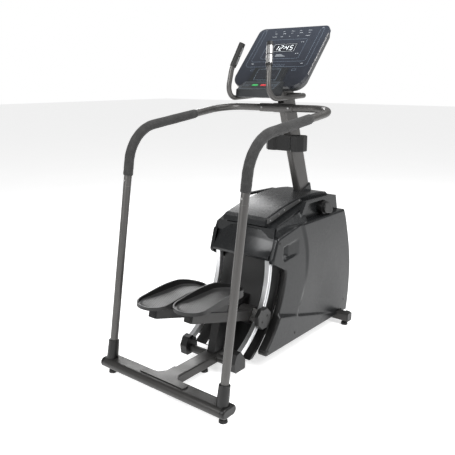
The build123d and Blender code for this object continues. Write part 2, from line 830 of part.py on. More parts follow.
def mast():
    """Leaning box-section post from the frame plates to the console, with its side pads."""
    length = (mast_top_z - mast_bottom_z) / cos(radians(mast_lean))
    with BuildPart() as post:
        with BuildSketch(mast_plane(mast_bottom_z)):
            RectangleRounded(mast_width, mast_depth, 12)
        extrude(amount=length)
        with BuildSketch(mast_plane(mast_bottom_z)):
            Rectangle(beam_width, mast_depth - 30)
        extrude(amount=82)
        with BuildSketch(mast_plane(mast_bottom_z)):
            RectangleRounded(mast_width - 2 * mast_wall, mast_depth - 2 * mast_wall, 9)
        extrude(amount=length, mode=Mode.SUBTRACT)
        with BuildSketch(Plane.YZ.offset(-mast_width)):
            with Locations((handle_cross_y, handle_cross_z)):
                Circle(handle_radius + running_clearance)
        extrude(amount=2 * mast_width, mode=Mode.SUBTRACT)
    save(post.part, "mast")


def cup_holder():
    """Tray clipped round the rear of the mast, with a pocket on each side."""
    half_width = cup_x + cup_radius + cup_wall
    with BuildPart() as holder:
        with BuildSketch(Plane.XY.offset(cup_z)):
            with Locations((-cup_x, cup_y), (cup_x, cup_y)):
                RegularPolygon(cup_radius + cup_wall + 4, 8, rotation=22.5)
            with Locations((0, cup_y)):
                Rectangle(2 * cup_x, 64)
        extrude(amount=cup_height)
        fillet(holder.faces().sort_by(Axis.Z)[0].edges(), 6)
        with BuildSketch(Plane.XY.offset(cup_z + cup_wall)):
            with Locations((-cup_x, cup_y), (cup_x, cup_y)):
                Circle(cup_radius - 3)
        extrude(amount=cup_height, taper=-2, mode=Mode.SUBTRACT)
        with BuildSketch(mast_plane(cup_z - 60)):
            RectangleRounded(mast_width + 2 * slip, mast_depth + 2 * slip, 12)
            with Locations((0, mast_depth / 2)):
                Rectangle(mast_width + 2 * slip, mast_depth)
        extrude(amount=3 * cup_height, mode=Mode.SUBTRACT)
    save(holder.part, "cup_holder")


def console_plane(height=0):
    """Plane of the console's face, origin at the middle of its lower edge."""
    lean = radians(console_lean)
    plane = Plane(origin=(0, console_bottom_y, console_bottom_z), x_dir=(1, 0, 0),
                  z_dir=(0, -cos(lean), sin(lean)))
    return plane.offset(height)


def console_outline(inset=0):
    """Console outline with small upper and large lower corner radii, on the current sketch."""
    with Locations((0, console_height / 2)):
        Rectangle(console_width - 2 * inset, console_height - 2 * inset)
    corners = vertices().group_by(Axis.Y)
    fillet(corners[-1], 34 - inset)
    corners = vertices().sort_by(Axis.Y)[:2]
    fillet(corners, 78 - inset)


def console_face():
    """Front bezel, with a pocket for the display window."""
    with BuildPart() as bezel:
        with BuildSketch(console_plane()):
            console_outline()
        extrude(amount=-bezel_thickness)
        with BuildSketch(console_plane()):
            with Locations((0, window_v)):
                RectangleRounded(window_width + 2 * slip, window_height + 2 * slip, 5)
        extrude(amount=-window_depth - slip, mode=Mode.SUBTRACT)
        with BuildSketch(console_plane(-bezel_thickness)):
            console_outline(12)
        extrude(amount=bezel_thickness - 6, mode=Mode.SUBTRACT)
    save(bezel.part, "console_face")


def display_window():
    """Clear window let into the bezel."""
    with BuildPart() as window:
        with BuildSketch(console_plane(-window_depth)):
            with Locations((0, window_v)):
                RectangleRounded(window_width, window_height, 5)
        extrude(amount=window_depth)
    save(window.part, "display_window")


def console_back():
    """Rear shell of the console, tapered away from the bezel."""
    with BuildPart() as shell:
        with BuildSketch(console_plane(-bezel_thickness)):
            console_outline(2)
        extrude(amount=-back_depth, taper=24)
        with BuildSketch(console_plane(-bezel_thickness)):
            console_outline(2 + shell_wall)
        extrude(amount=-back_depth + shell_wall, taper=24, mode=Mode.SUBTRACT)
    save(shell.part, "console_back")


def console_bracket():
    """Neck from the top of the mast to the back of the console."""
    top = mast_plane(mast_top_z)
    back = console_plane(-bezel_thickness - back_depth - weld_gap)
    rear = top.from_local_coords(Vector(0, -mast_depth / 2 + 8, weld_gap))
    front = top.from_local_coords(Vector(0, mast_depth / 2 - 8, weld_gap))
    low = back.from_local_coords(Vector(0, 92, 0))
    high = back.from_local_coords(Vector(0, 230, 0))
    with BuildPart() as neck:
        with BuildSketch(Plane.YZ.offset(-30)):
            with BuildLine():
                Polyline((rear.Y, rear.Z), (front.Y, front.Z), (high.Y, high.Z), (low.Y, low.Z), close=True)
            make_face()
        extrude(amount=60)
        fillet(neck.edges().filter_by(Axis.X), 4)
    save(neck.part, "console_bracket")


def shelf_plane():
    """Plane of the sloping key shelf, origin at the middle of its rear edge."""
    rear = Vector(0, shelf_rear[0], shelf_rear[1])
    front = Vector(0, shelf_front[0], shelf_front[1])
    up = (rear - front).normalized()
    return Plane(origin=rear, x_dir=(1, 0, 0), z_dir=Vector(1, 0, 0).cross(up))


def keypad_housing():
    """Raised block on the console's lower middle, with a sloping shelf for the keys."""
    plane = console_plane(slip)
    top = plane.from_local_coords(Vector(0, 122, 0))
    foot = plane.from_local_coords(Vector(0, -1, 0))
    with BuildPart() as housing:
        with BuildSketch(Plane.YZ.offset(-shelf_half_width)):
            with BuildLine():
                Polyline(
                    shelf_rear,
                    shelf_front,
                    (shelf_front[0] - 3, shelf_front[1] - 36),
                    (shelf_front[0] + 55, shelf_front[1] - 42),
                    (foot.Y + 4, foot.Z - 26),
                    (foot.Y, foot.Z),
                    (foot.Y + 18, foot.Z + 19.4),
                    close=True,
                )
            make_face()
        extrude(amount=2 * shelf_half_width)
        with BuildSketch(Plane.YZ.offset(-bulge_half_width)):
            with BuildLine():
                Polyline(
                    shelf_rear,
                    (top.Y - 26, top.Z + 2),
                    (top.Y, top.Z),
                    (foot.Y, foot.Z),
                    close=True,
                )
            make_face()
        extrude(amount=2 * bulge_half_width)
        with BuildSketch(shelf_plane()):
            with Locations((-key_x, -40), (key_x, -40)):
                RectangleRounded(key_width + 2 * key_gap, key_height + 2 * key_gap, 3)
        extrude(amount=-(key_depth + key_travel + key_gap), mode=Mode.SUBTRACT)
    save(housing.part, "keypad_housing")


def keys():
    """Start and stop keys in the shelf."""
    for name, x in (("start_key", -key_x), ("stop_key", key_x)):
        with BuildPart() as key:
            with BuildSketch(shelf_plane().offset(-key_depth)):
                with Locations((x, -40)):
                    RectangleRounded(key_width, key_height, 3)
            extrude(amount=key_depth + key_proud)
            fillet(key.faces().sort_by(Axis.Z)[-1].edges(), 0.6)
        save(key.part, name)


def handle_stations(sign):
    """Corner points of one half of the hand-pulse bar, from the mast to the tip."""
    return [
        (0, handle_cross_y, handle_cross_z),
        (sign * handle_corner_x, handle_cross_y, handle_cross_z),
        (sign * (handle_corner_x - 14), handle_rear_y, handle_cross_z - 14),
        (sign * handle_grip_start[0], *handle_grip_start[1:]),
        (sign * handle_tip[0], *handle_tip[1:]),
    ]


def pulse_handlebar():
    """Bar through the mast that turns towards the user and up on both sides."""
    right = handle_stations(1)
    left = handle_stations(-1)
    stations = list(reversed(left[1:])) + right[1:]
    radii = [90, 62, 45, 45, 62, 90]
    tip = Vector(*stations[0])
    direction = Vector(*stations[1]) - tip
    with BuildPart() as bar:
        with BuildLine() as route:
            FilletPolyline(*stations, radius=radii)
        with BuildSketch(Plane(origin=tip, z_dir=direction)):
            Circle(handle_radius)
        sweep(path=route.wires()[0])
    save(bar.part, "pulse_handlebar")


def grip_frame(sign):
    """Plane square to one grip at its lower end, with the grip's length."""
    start = Vector(sign * handle_grip_start[0], *handle_grip_start[1:])
    tip = Vector(sign * handle_tip[0], *handle_tip[1:])
    direction = (tip - start).normalized()
    length = (tip - start).length
    return Plane(origin=start + direction * 14, x_dir=(sign, 0, 0), z_dir=direction), length - 14


def pulse_grips():
    """Plastic sleeves with closed ends on the upright ends of the hand-pulse bar."""
    with BuildPart() as grips:
        for sign in side_sign.values():
            plane, length = grip_frame(sign)
            with BuildSketch(plane):
                Circle(handle_grip_radius)
            extrude(amount=length + 6)
            with BuildSketch(plane):
                Circle(handle_radius + running_clearance)
            extrude(amount=length + slip, mode=Mode.SUBTRACT)
    save(grips.part, "pulse_grips")


def pulse_plates():
    """Four bright contact plates, two on the user's side of each grip."""
    with BuildPart() as plates:
        for sign in side_sign.values():
            plane, length = grip_frame(sign)
            for start in (12, 12 + plate_length + 6):
                with BuildSketch(plane.offset(start)):
                    Circle(handle_grip_radius + plate_proud)
                    Circle(handle_grip_radius + running_clearance, mode=Mode.SUBTRACT)
                    with Locations((0, handle_grip_radius + 3)):
                        Rectangle(4 * handle_grip_radius, 2 * handle_grip_radius, mode=Mode.SUBTRACT)
                extrude(amount=plate_length)
    save(plates.part, "pulse_plates")


# ---------------------------------------------------------------- shroud

def shell_outline():
    """Side view of the shroud: arc behind the rails, chin under the visor, bowed front."""
    bottom_y = arc_at_height(shell_edge_radius, casing_bottom_z)
    chin_z = 470
    with BuildLine() as outline:
        ThreePointArc(
            (bottom_y, casing_bottom_z),
            (arc_at_height(shell_edge_radius, 260), 260),
            (arc_at_height(shell_edge_radius, chin_z), chin_z),
        )
        Polyline(
            (arc_at_height(shell_edge_radius, chin_z), chin_z),
            (-92, 534),
            (-50, 655),
            (135, shell_top_z),
            (front_top_y, shell_top_z),
        )
        front_curves()
        Line((front_bottom_y, front_bottom_z), (bottom_y, casing_bottom_z))
    make_face(outline.edges())


def front_curves(inset=0):
    """Bowed front edge of the shroud, from its top corner down to its foot, on the current line."""
    foremost = (front_y - inset, front_widest_z)
    Spline(
        (front_top_y - inset, shell_top_z),
        (front_y - 60 - inset, 585),
        foremost,
        tangents=((0.6, -1), (0, -1)),
    )
    Spline(foremost, (front_bottom_y - inset, front_bottom_z), tangents=((0, -1), (-0.25, -1)))


def front_cover():
    """Curved front panel between the two side shells."""
    half_width = shell_inner_x - slip
    top = (front_top_y, shell_top_z)
    bottom = (front_bottom_y, front_bottom_z)
    with BuildPart() as cover:
        with BuildSketch(Plane.YZ.offset(-half_width)):
            with BuildLine():
                front_curves()
                front_curves(shroud_wall)
                Line(top, (top[0] - shroud_wall, top[1]))
                Line(bottom, (bottom[0] - shroud_wall, bottom[1]))
            make_face()
        extrude(amount=2 * half_width)
    save(cover.part, "front_cover")


def shell_shoulder(sign):
    """Facet that slopes from the top edge of a shell's face up to the hood, behind the hub's pocket."""
    rear = (-38, 660)
    edge_tilt = degrees(atan2(shell_top_z - rear[1], 150 - rear[0]))
    facet_lean = 48
    with BuildPart() as facet:
        with BuildSketch(Plane.YZ.offset(sign * shell_inner_x)):
            with BuildLine():
                Polyline(
                    rear,
                    (-30, 706),
                    (100, 748),
                    (222, 802),
                    (248, 788),
                    (186, shell_top_z - 2),
                    (150, shell_top_z - 2),
                    close=True,
                )
            make_face()
        extrude(amount=sign * (shroud_half_width - 6 - shell_inner_x))
        slope = Plane(
            origin=(sign * (shroud_half_width - 6), *rear),
            x_dir=(0, cos(radians(edge_tilt)), sin(radians(edge_tilt))),
            z_dir=(
                sign * cos(radians(facet_lean)),
                -sin(radians(facet_lean)) * sin(radians(edge_tilt)),
                sin(radians(facet_lean)) * cos(radians(edge_tilt)),
            ),
        )
        split(bisect_by=slope, keep=Keep.BOTTOM)
    return facet.part


def side_shell(side):
    """Hollow side cover of the shroud, with the cowl over the end of the drive shaft."""
    sign = side_sign[side]
    cowl_outer_x = 205
    with BuildPart() as shell:
        with BuildSketch(Plane.YZ.offset(sign * shell_inner_x)):
            shell_outline()
            corners = vertices().sort_by(Axis.X)[:-1]
            brow = [corner for corner in corners if corner.X > hub_y and corner.Y > hub_z - 2 * shell_brow_radius]
            fillet([corner for corner in corners if corner not in brow], shell_corner_radius)
            fillet(brow, shell_brow_radius)
        extrude(amount=sign * (shroud_half_width - shell_inner_x))
        outer_face = shell.faces().filter_by(Plane.YZ).sort_by(Axis.X)[-1 if sign > 0 else 0]
        fillet(outer_face.edges(), shell_edge_rounding)
        inner_face = shell.faces().filter_by(Plane.YZ).sort_by(Axis.X)[0 if sign > 0 else -1]
        offset(amount=-shroud_wall, openings=inner_face)
        with BuildSketch(Plane.YZ.offset(sign * shell_inner_x)):
            with BuildLine():
                Polyline(
                    (150, shell_top_z - 2),
                    (222, 802),
                    (500, 794),
                    (508, 784),
                    (248, 788),
                    (186, shell_top_z - 2),
                    close=True,
                )
            make_face()
        extrude(amount=sign * (cowl_outer_x - shell_inner_x))
        add(shell_shoulder(sign))
        with BuildSketch(Plane.YZ.offset(sign * shell_inner_x)):
            with Locations((stabiliser_y, stabiliser_z - notch_gap)):
                Rectangle(stabiliser_size + 2 * notch_gap, stabiliser_size + 4 * notch_gap)
        extrude(amount=sign * (shroud_half_width - shell_inner_x), mode=Mode.SUBTRACT)
    save(shell.part, f"{side}_side_shell")


def hood_outline(drop=0):
    """Side view of the hood's wide base, lowered by drop for its hollow."""
    with BuildLine() as outline:
        Polyline(
            (-44 + drop, 650),
            (-40 + drop, 700 - drop),
            (0, 716 - drop),
            (290, 784 - drop),
            (hood_front_y - drop, 782 - drop),
            (front_top_y - drop, shell_top_z + weld_gap),
            (front_top_y - 4 * shroud_wall, shell_top_z + weld_gap),
            (-20, 650),
            close=True,
        )
    make_face(outline.edges())


def pod_outline(drop=0):
    """Side view of the raised pod along the middle of the hood."""
    foot = (-62 + drop, 712)
    nose = (-58 + drop, 738 - drop)
    nose_top = (-30 + drop, 750 - drop)
    brow = (pod_front_y - 26 - drop, 800 - drop)
    with BuildLine() as outline:
        Polyline(foot, nose, nose_top)
        Spline(nose_top, (110, 785 - drop), (250, 806 - drop), (420, 811 - drop), brow)
        Polyline(brow, (pod_front_y - drop, 780 - drop), (pod_front_y - 6, 700), (0, 700), foot)
    make_face(outline.edges())


def pod_top_edges(hood):
    """The two long curved edges along the pod's top."""
    return [
        edge for edge in hood.edges()
        if abs(abs(edge.center().X) - pod_half_width) < 0.1 and edge.length > pod_half_width * 3
    ]


def top_hood():
    """Cover over the drive, open below, with a collar round the mast and gaps for the shaft."""
    shaft_gap = 14
    with BuildPart() as hood:
        with BuildSketch(Plane.YZ.offset(-hood_half_width)):
            hood_outline()
        extrude(amount=2 * hood_half_width)
        with BuildSketch(Plane.YZ.offset(-pod_half_width)):
            pod_outline()
        extrude(amount=2 * pod_half_width)
        fillet(pod_top_edges(hood), 5)
        with BuildSketch(mast_plane(780)):
            RectangleRounded(mast_width + 18, mast_depth + 18, 16)
        extrude(amount=42)
        with BuildSketch(Plane.YZ.offset(-hood_half_width + shroud_wall)):
            hood_outline(shroud_wall)
        extrude(amount=2 * (hood_half_width - shroud_wall), mode=Mode.SUBTRACT)
        with BuildSketch(Plane.YZ.offset(-pod_half_width + shroud_wall)):
            pod_outline(shroud_wall)
        extrude(amount=2 * (pod_half_width - shroud_wall), mode=Mode.SUBTRACT)
        with BuildSketch(Plane.XY.offset(640)):
            with Locations((0, 285)):
                Rectangle(2 * (hood_half_width - shroud_wall), 590)
        extrude(amount=60, mode=Mode.SUBTRACT)
        with BuildSketch(mast_plane(600)):
            RectangleRounded(mast_width + 2 * slip, mast_depth + 2 * slip, 12)
        extrude(amount=300, mode=Mode.SUBTRACT)
        with BuildSketch(Plane.YZ.offset(-2 * hood_half_width)):
            with Locations((hub_y, hub_z)):
                Circle(shaft_radius + shaft_gap)
        extrude(amount=4 * hood_half_width, mode=Mode.SUBTRACT)
    save(hood.part, "top_hood")


def hood_trims():
    """Screwed strips along both sides of the pod."""
    with BuildPart() as trims:
        with BuildSketch(Plane.YZ.offset(pod_half_width + slip)):
            with BuildLine():
                Polyline(
                    (-40, 722),
                    (-36, 744),
                    (110, 779),
                    (270, 802),
                    (285, 790),
                    (110, 754),
                    (0, 726),
                    close=True,
                )
            make_face()
        extrude(amount=6)
        mirror(about=Plane.YZ)
    save(trims.part, "hood_trims")


def rear_visor():
    """Sloping cover over the tops of the rails, closed below by a shallow tray."""
    half_width = hood_half_width - 2
    with BuildPart() as visor:
        with BuildSketch(Plane.YZ.offset(-half_width)):
            with BuildLine():
                Polyline(
                    (-96, 560),
                    (-58, 648),
                    (-45 - slip, 690),
                    (-45 - slip, 648),
                    (-78, 556),
                    (-20, 549),
                    (-20, 545.5),
                    (-88, 545.5),
                    close=True,
                )
            make_face()
        extrude(amount=2 * half_width)
        for sign in side_sign.values():
            with BuildSketch(Plane.XY.offset(540)):
                with Locations((sign * rail_x, arc_at_height(arc_radius, 545))):
                    Rectangle(rail_width + 2, rail_thickness + 12)
            extrude(amount=22, mode=Mode.SUBTRACT)
    save(visor.part, "rear_visor")


def rear_casing():
    """Black panel curved round the steps' path, slotted for the lugs of the pedal arms."""
    low = degrees(asin((casing_bottom_z - arc_z) / casing_radius))
    high = degrees(asin((casing_top_z - arc_z) / casing_radius))
    slot_low = mid_angle - step_travel - 5
    slot_high = mid_angle + step_travel + 4
    with BuildPart() as casing:
        with BuildSketch(Plane.YZ.offset(-casing_half_width)):
            band_sketch(casing_radius, shell_edge_radius, low, high)
        extrude(amount=2 * casing_half_width)
        with BuildSketch(Plane.YZ.offset(-casing_half_width + shroud_wall)):
            band_sketch(casing_radius + shroud_wall, shell_edge_radius + 5, low - 3, high + 3)
        extrude(amount=2 * (casing_half_width - shroud_wall), mode=Mode.SUBTRACT)
        split(bisect_by=Plane.XY.offset(casing_bottom_z), keep=Keep.TOP)
        split(bisect_by=Plane.XY.offset(casing_top_z), keep=Keep.BOTTOM)
        with BuildSketch(Plane.XY.offset(beam_top + notch_gap)):
            with Locations((0, arc_at_height(casing_radius, beam_top))):
                Rectangle(beam_width + 2 * notch_gap, casing_radius)
        extrude(amount=-beam_height, mode=Mode.SUBTRACT)
        for sign in side_sign.values():
            with BuildSketch(Plane.YZ.offset(sign * slot_x - slot_width / 2)):
                band_sketch(casing_radius - 5, casing_radius + 2 * shroud_wall, slot_low, slot_high)
            extrude(amount=slot_width, mode=Mode.SUBTRACT)
    save(casing.part, "rear_casing")


def centre_column():
    """Post from the beam up to the middle of the rear casing."""
    half_width = 24
    base = beam_top + weld_gap
    face = casing_radius - weld_gap
    with BuildPart() as column:
        with BuildSketch(Plane.YZ.offset(-half_width)):
            with BuildLine():
                Polyline(
                    (-330, base),
                    (-258, base),
                    (-228, 185),
                    (arc_at_height(face, 265), 265),
                    (arc_at_height(face, 315), 315),
                    (-190, 270),
                    (-285, 238),
                    close=True,
                )
            make_face()
        extrude(amount=2 * half_width)
        fillet(column.edges().filter_by(Axis.X).group_by(Axis.Y)[0], 2)
    save(column.part, "centre_column")


# ---------------------------------------------------------------- drive

def frame_plates():
    """Pair of side plates on the beam that carry the mast, the drive shaft and the flywheel."""
    with BuildPart() as plates:
        with BuildSketch(Plane.YZ.offset(plate_x)):
            with BuildLine():
                Polyline(
                    (140, beam_z - 18),
                    (stabiliser_y - 40, beam_z - 18),
                    (stabiliser_y + 36, 560),
                    (stabiliser_y + 26, 640),
                    (hub_y + 60, 770),
                    (hub_y - 48, 770),
                    (hub_y - 52, 690),
                    (220, 400),
                    close=True,
                )
            make_face()
            with Locations((hub_y, hub_z)):
                Circle(shaft_radius + running_clearance, mode=Mode.SUBTRACT)
            with Locations((flywheel_y, flywheel_z)):
                Circle(flywheel_axle_radius + running_clearance, mode=Mode.SUBTRACT)
            with Locations((300, 170), (440, 150)):
                Circle(34, mode=Mode.SUBTRACT)
        extrude(amount=plate_thickness)
        mirror(about=Plane.YZ)
    save(plates.part, "frame_plates")


def drive_shaft():
    """Cross shaft with the two strap drums."""
    with BuildPart() as shaft:
        with BuildSketch(Plane.YZ.offset(-shaft_half_length)):
            with Locations((hub_y, hub_z)):
                Circle(shaft_radius)
        extrude(amount=2 * shaft_half_length)
        for sign in side_sign.values():
            inner = strap_inner_x - 1
            width = strap_width + 2
            with BuildSketch(Plane.YZ.offset(sign * (inner - drum_flange))):
                with Locations((hub_y, hub_z)):
                    Circle(drum_flange_radius)
            extrude(amount=sign * drum_flange)
            with BuildSketch(Plane.YZ.offset(sign * inner)):
                with Locations((hub_y, hub_z)):
                    Circle(drum_radius)
            extrude(amount=sign * width)
            with BuildSketch(Plane.YZ.offset(sign * (inner + width))):
                with Locations((hub_y, hub_z)):
                    Circle(drum_flange_radius)
            extrude(amount=sign * drum_flange)
    save(shaft.part, "drive_shaft")


def strap(side):
    """Drive strap from the eye on the level pin to its drum; the two wrap opposite ways."""
    sign = side_sign[side]
    y, z = arc_point(side_angle[side])
    pin = Vector(y + level_offset_y, z + level_offset_z)
    drum = Vector(hub_y, hub_z)
    span = drum - pin
    distance = span.length
    eye_inner = level_pin_radius + slip
    eye_outer = eye_inner + strap_thickness
    tangent_radius = drum_radius + slip + strap_thickness / 2
    line_angle = degrees(atan2(span.Y, span.X))
    lean = degrees(asin(tangent_radius / distance)) * sign
    length = distance * cos(radians(lean))
    direction = line_angle + lean
    middle = pin + Vector(cos(radians(direction)), sin(radians(direction))) * (length / 2)
    with BuildPart() as band:
        with BuildSketch(Plane.YZ.offset(sign * strap_inner_x)):
            with Locations((pin.X, pin.Y)):
                Circle(eye_outer)
            with Locations(Location((middle.X, middle.Y), direction)):
                Rectangle(length, strap_thickness)
            with Locations((pin.X, pin.Y)):
                Circle(eye_inner, mode=Mode.SUBTRACT)
        extrude(amount=sign * strap_width)
    save(band.part, f"{side}_strap")


def drive_pulley():
    """Pulley on a one-way clutch at the middle of the drive shaft."""
    with BuildPart() as pulley:
        with BuildSketch(Plane.YZ.offset(pulley_x)):
            with Locations((hub_y, hub_z)):
                Circle(pulley_radius)
                Circle(shaft_radius + running_clearance, mode=Mode.SUBTRACT)
        extrude(amount=pulley_width)
    save(pulley.part, "drive_pulley")


def flywheel():
    """Heavy disc with its small pulley and axle."""
    with BuildPart() as wheel:
        with BuildSketch(Plane.YZ.offset(flywheel_x)):
            with Locations((flywheel_y, flywheel_z)):
                Circle(flywheel_radius)
        extrude(amount=flywheel_thickness)
        with BuildSketch(Plane.YZ.offset(flywheel_x + 6)):
            with Locations((flywheel_y, flywheel_z)):
                Circle(flywheel_radius - 18)
                Circle(30, mode=Mode.SUBTRACT)
        extrude(amount=-6, mode=Mode.SUBTRACT)
        with BuildSketch(Plane.YZ.offset(pulley_x)):
            with Locations((flywheel_y, flywheel_z)):
                Circle(flywheel_pulley_radius)
        extrude(amount=pulley_width)
        with BuildSketch(Plane.YZ.offset(-plate_x - plate_thickness - 4)):
            with Locations((flywheel_y, flywheel_z)):
                Circle(flywheel_axle_radius)
        extrude(amount=2 * (plate_x + plate_thickness + 4))
    save(wheel.part, "flywheel")


def drive_belt():
    """Ribbed belt round the two pulleys."""
    with BuildPart() as belt:
        with BuildSketch(Plane.YZ.offset(pulley_x + (pulley_width - belt_width) / 2)):
            with Locations((hub_y, hub_z)):
                Circle(pulley_radius + belt_gap + belt_thickness)
            with Locations((flywheel_y, flywheel_z)):
                Circle(flywheel_pulley_radius + belt_gap + belt_thickness)
            make_hull()
            offset(amount=-belt_thickness, mode=Mode.SUBTRACT)
        extrude(amount=belt_width)
    save(belt.part, "drive_belt")


def shaft_end_covers():
    """Two-lobed plastic covers over the ends of the drive shaft."""
    lobe_y = hub_y + 42
    lobe_z = hub_z - 22
    with BuildPart() as covers:
        with BuildSketch(Plane.YZ.offset(hub_cover_inner_x)):
            with Locations((hub_y, hub_z)):
                Circle(hub_cover_radius)
        extrude(amount=30)
        with BuildSketch(Plane.YZ.offset(hub_cover_inner_x + 30)):
            with Locations((hub_y, hub_z)):
                Circle(hub_cover_radius - 6)
            with Locations((lobe_y, lobe_z)):
                Circle(18)
            make_hull()
        extrude(amount=18)
        fillet(covers.faces().sort_by(Axis.X)[-1].edges(), 5)
        with BuildSketch(Plane.YZ.offset(hub_cover_inner_x)):
            with Locations((hub_y, hub_z)):
                Circle(shaft_radius + running_clearance)
        extrude(amount=shaft_half_length - hub_cover_inner_x + slip, mode=Mode.SUBTRACT)
        mirror(about=Plane.YZ)
    save(covers.part, "shaft_end_covers")


def frame_screws():
    """Cap screws of the handrail collars and clamp, the boots and the trim strips."""
    head_radius = 5
    head_height = 3
    with BuildPart() as screws:
        for sign in side_sign.values():
            clamp_spot = Plane(origin=(sign * 84, handrail_front_y - rail_tube_radius - clamp_wall - weld_gap,
                                       handrail_front_z()), z_dir=(0, -1, 0))
            with BuildSketch(clamp_spot):
                Circle(head_radius)
            extrude(amount=head_height)
            collar = upright_plane(sign * upright_x, collar_z + 26)
            collar_spot = Plane(origin=collar.origin - collar.y_dir * (rail_tube_radius + weld_gap),
                                z_dir=collar.y_dir * -1)
            with BuildSketch(collar_spot):
                Circle(head_radius)
            extrude(amount=head_height)
            for y, z in ((-18, 736), (60, 756), (110, 768), (255, 796)):
                trim_spot = Plane(origin=(sign * (pod_half_width + 6 + 2 * slip), y, z), z_dir=(sign, 0, 0))
                with BuildSketch(trim_spot):
                    Circle(head_radius - 1)
                extrude(amount=head_height - 1)
    save(screws.part, "frame_screws")


for build in (rear_crossbar, end_caps, main_beam, crossbar_saddle, front_stabiliser, feet, wheel_brackets,
              rails, rail_brackets, stop_bumpers, level_tracks, uprights, upright_boots, handrail,
              handrail_clamp, mast, cup_holder, console_face, display_window, console_back, console_bracket,
              keypad_housing, keys, pulse_handlebar, pulse_grips, pulse_plates, top_hood, hood_trims,
              rear_visor, front_cover, rear_casing, centre_column, frame_plates, drive_shaft, drive_pulley, flywheel,
              drive_belt, shaft_end_covers, frame_screws):
    build()

for side in side_sign:
    transport_wheel(f"{side}_transport_wheel", side_sign[side])
    foam_grip(side)
    carriage(side)
    carriage_cover(side)
    pedal_arm(side)
    pedal(side)
    side_shell(side)
    strap(side)
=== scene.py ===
import json
import math

import bmesh
import bpy
from mathutils import Matrix, Vector


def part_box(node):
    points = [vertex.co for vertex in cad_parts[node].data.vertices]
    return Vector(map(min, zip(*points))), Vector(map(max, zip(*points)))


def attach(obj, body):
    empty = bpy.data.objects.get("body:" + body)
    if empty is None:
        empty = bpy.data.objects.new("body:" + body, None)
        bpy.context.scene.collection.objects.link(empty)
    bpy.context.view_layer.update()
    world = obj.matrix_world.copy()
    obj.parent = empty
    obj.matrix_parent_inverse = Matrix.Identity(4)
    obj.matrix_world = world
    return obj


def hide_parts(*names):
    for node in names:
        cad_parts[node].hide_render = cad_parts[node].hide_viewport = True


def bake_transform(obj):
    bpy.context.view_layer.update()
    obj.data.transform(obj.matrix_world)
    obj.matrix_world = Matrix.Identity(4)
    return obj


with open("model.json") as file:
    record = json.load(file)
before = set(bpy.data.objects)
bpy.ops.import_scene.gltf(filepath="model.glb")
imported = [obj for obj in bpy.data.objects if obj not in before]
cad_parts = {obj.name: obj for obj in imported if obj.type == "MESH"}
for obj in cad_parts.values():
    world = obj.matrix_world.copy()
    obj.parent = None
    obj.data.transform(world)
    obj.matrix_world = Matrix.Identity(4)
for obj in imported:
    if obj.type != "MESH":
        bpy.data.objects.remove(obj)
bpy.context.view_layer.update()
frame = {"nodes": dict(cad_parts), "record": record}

# Stair climber. Metres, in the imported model's frame: +Z up, +X to the user's right,
# +Y towards the console. Angles are in radians once read from degrees.

nodes = frame["nodes"]
both_sides = (("left", -1), ("right", 1))      # name of each side, and the sign of its x


# ---------------------------------------------------------------- material tools

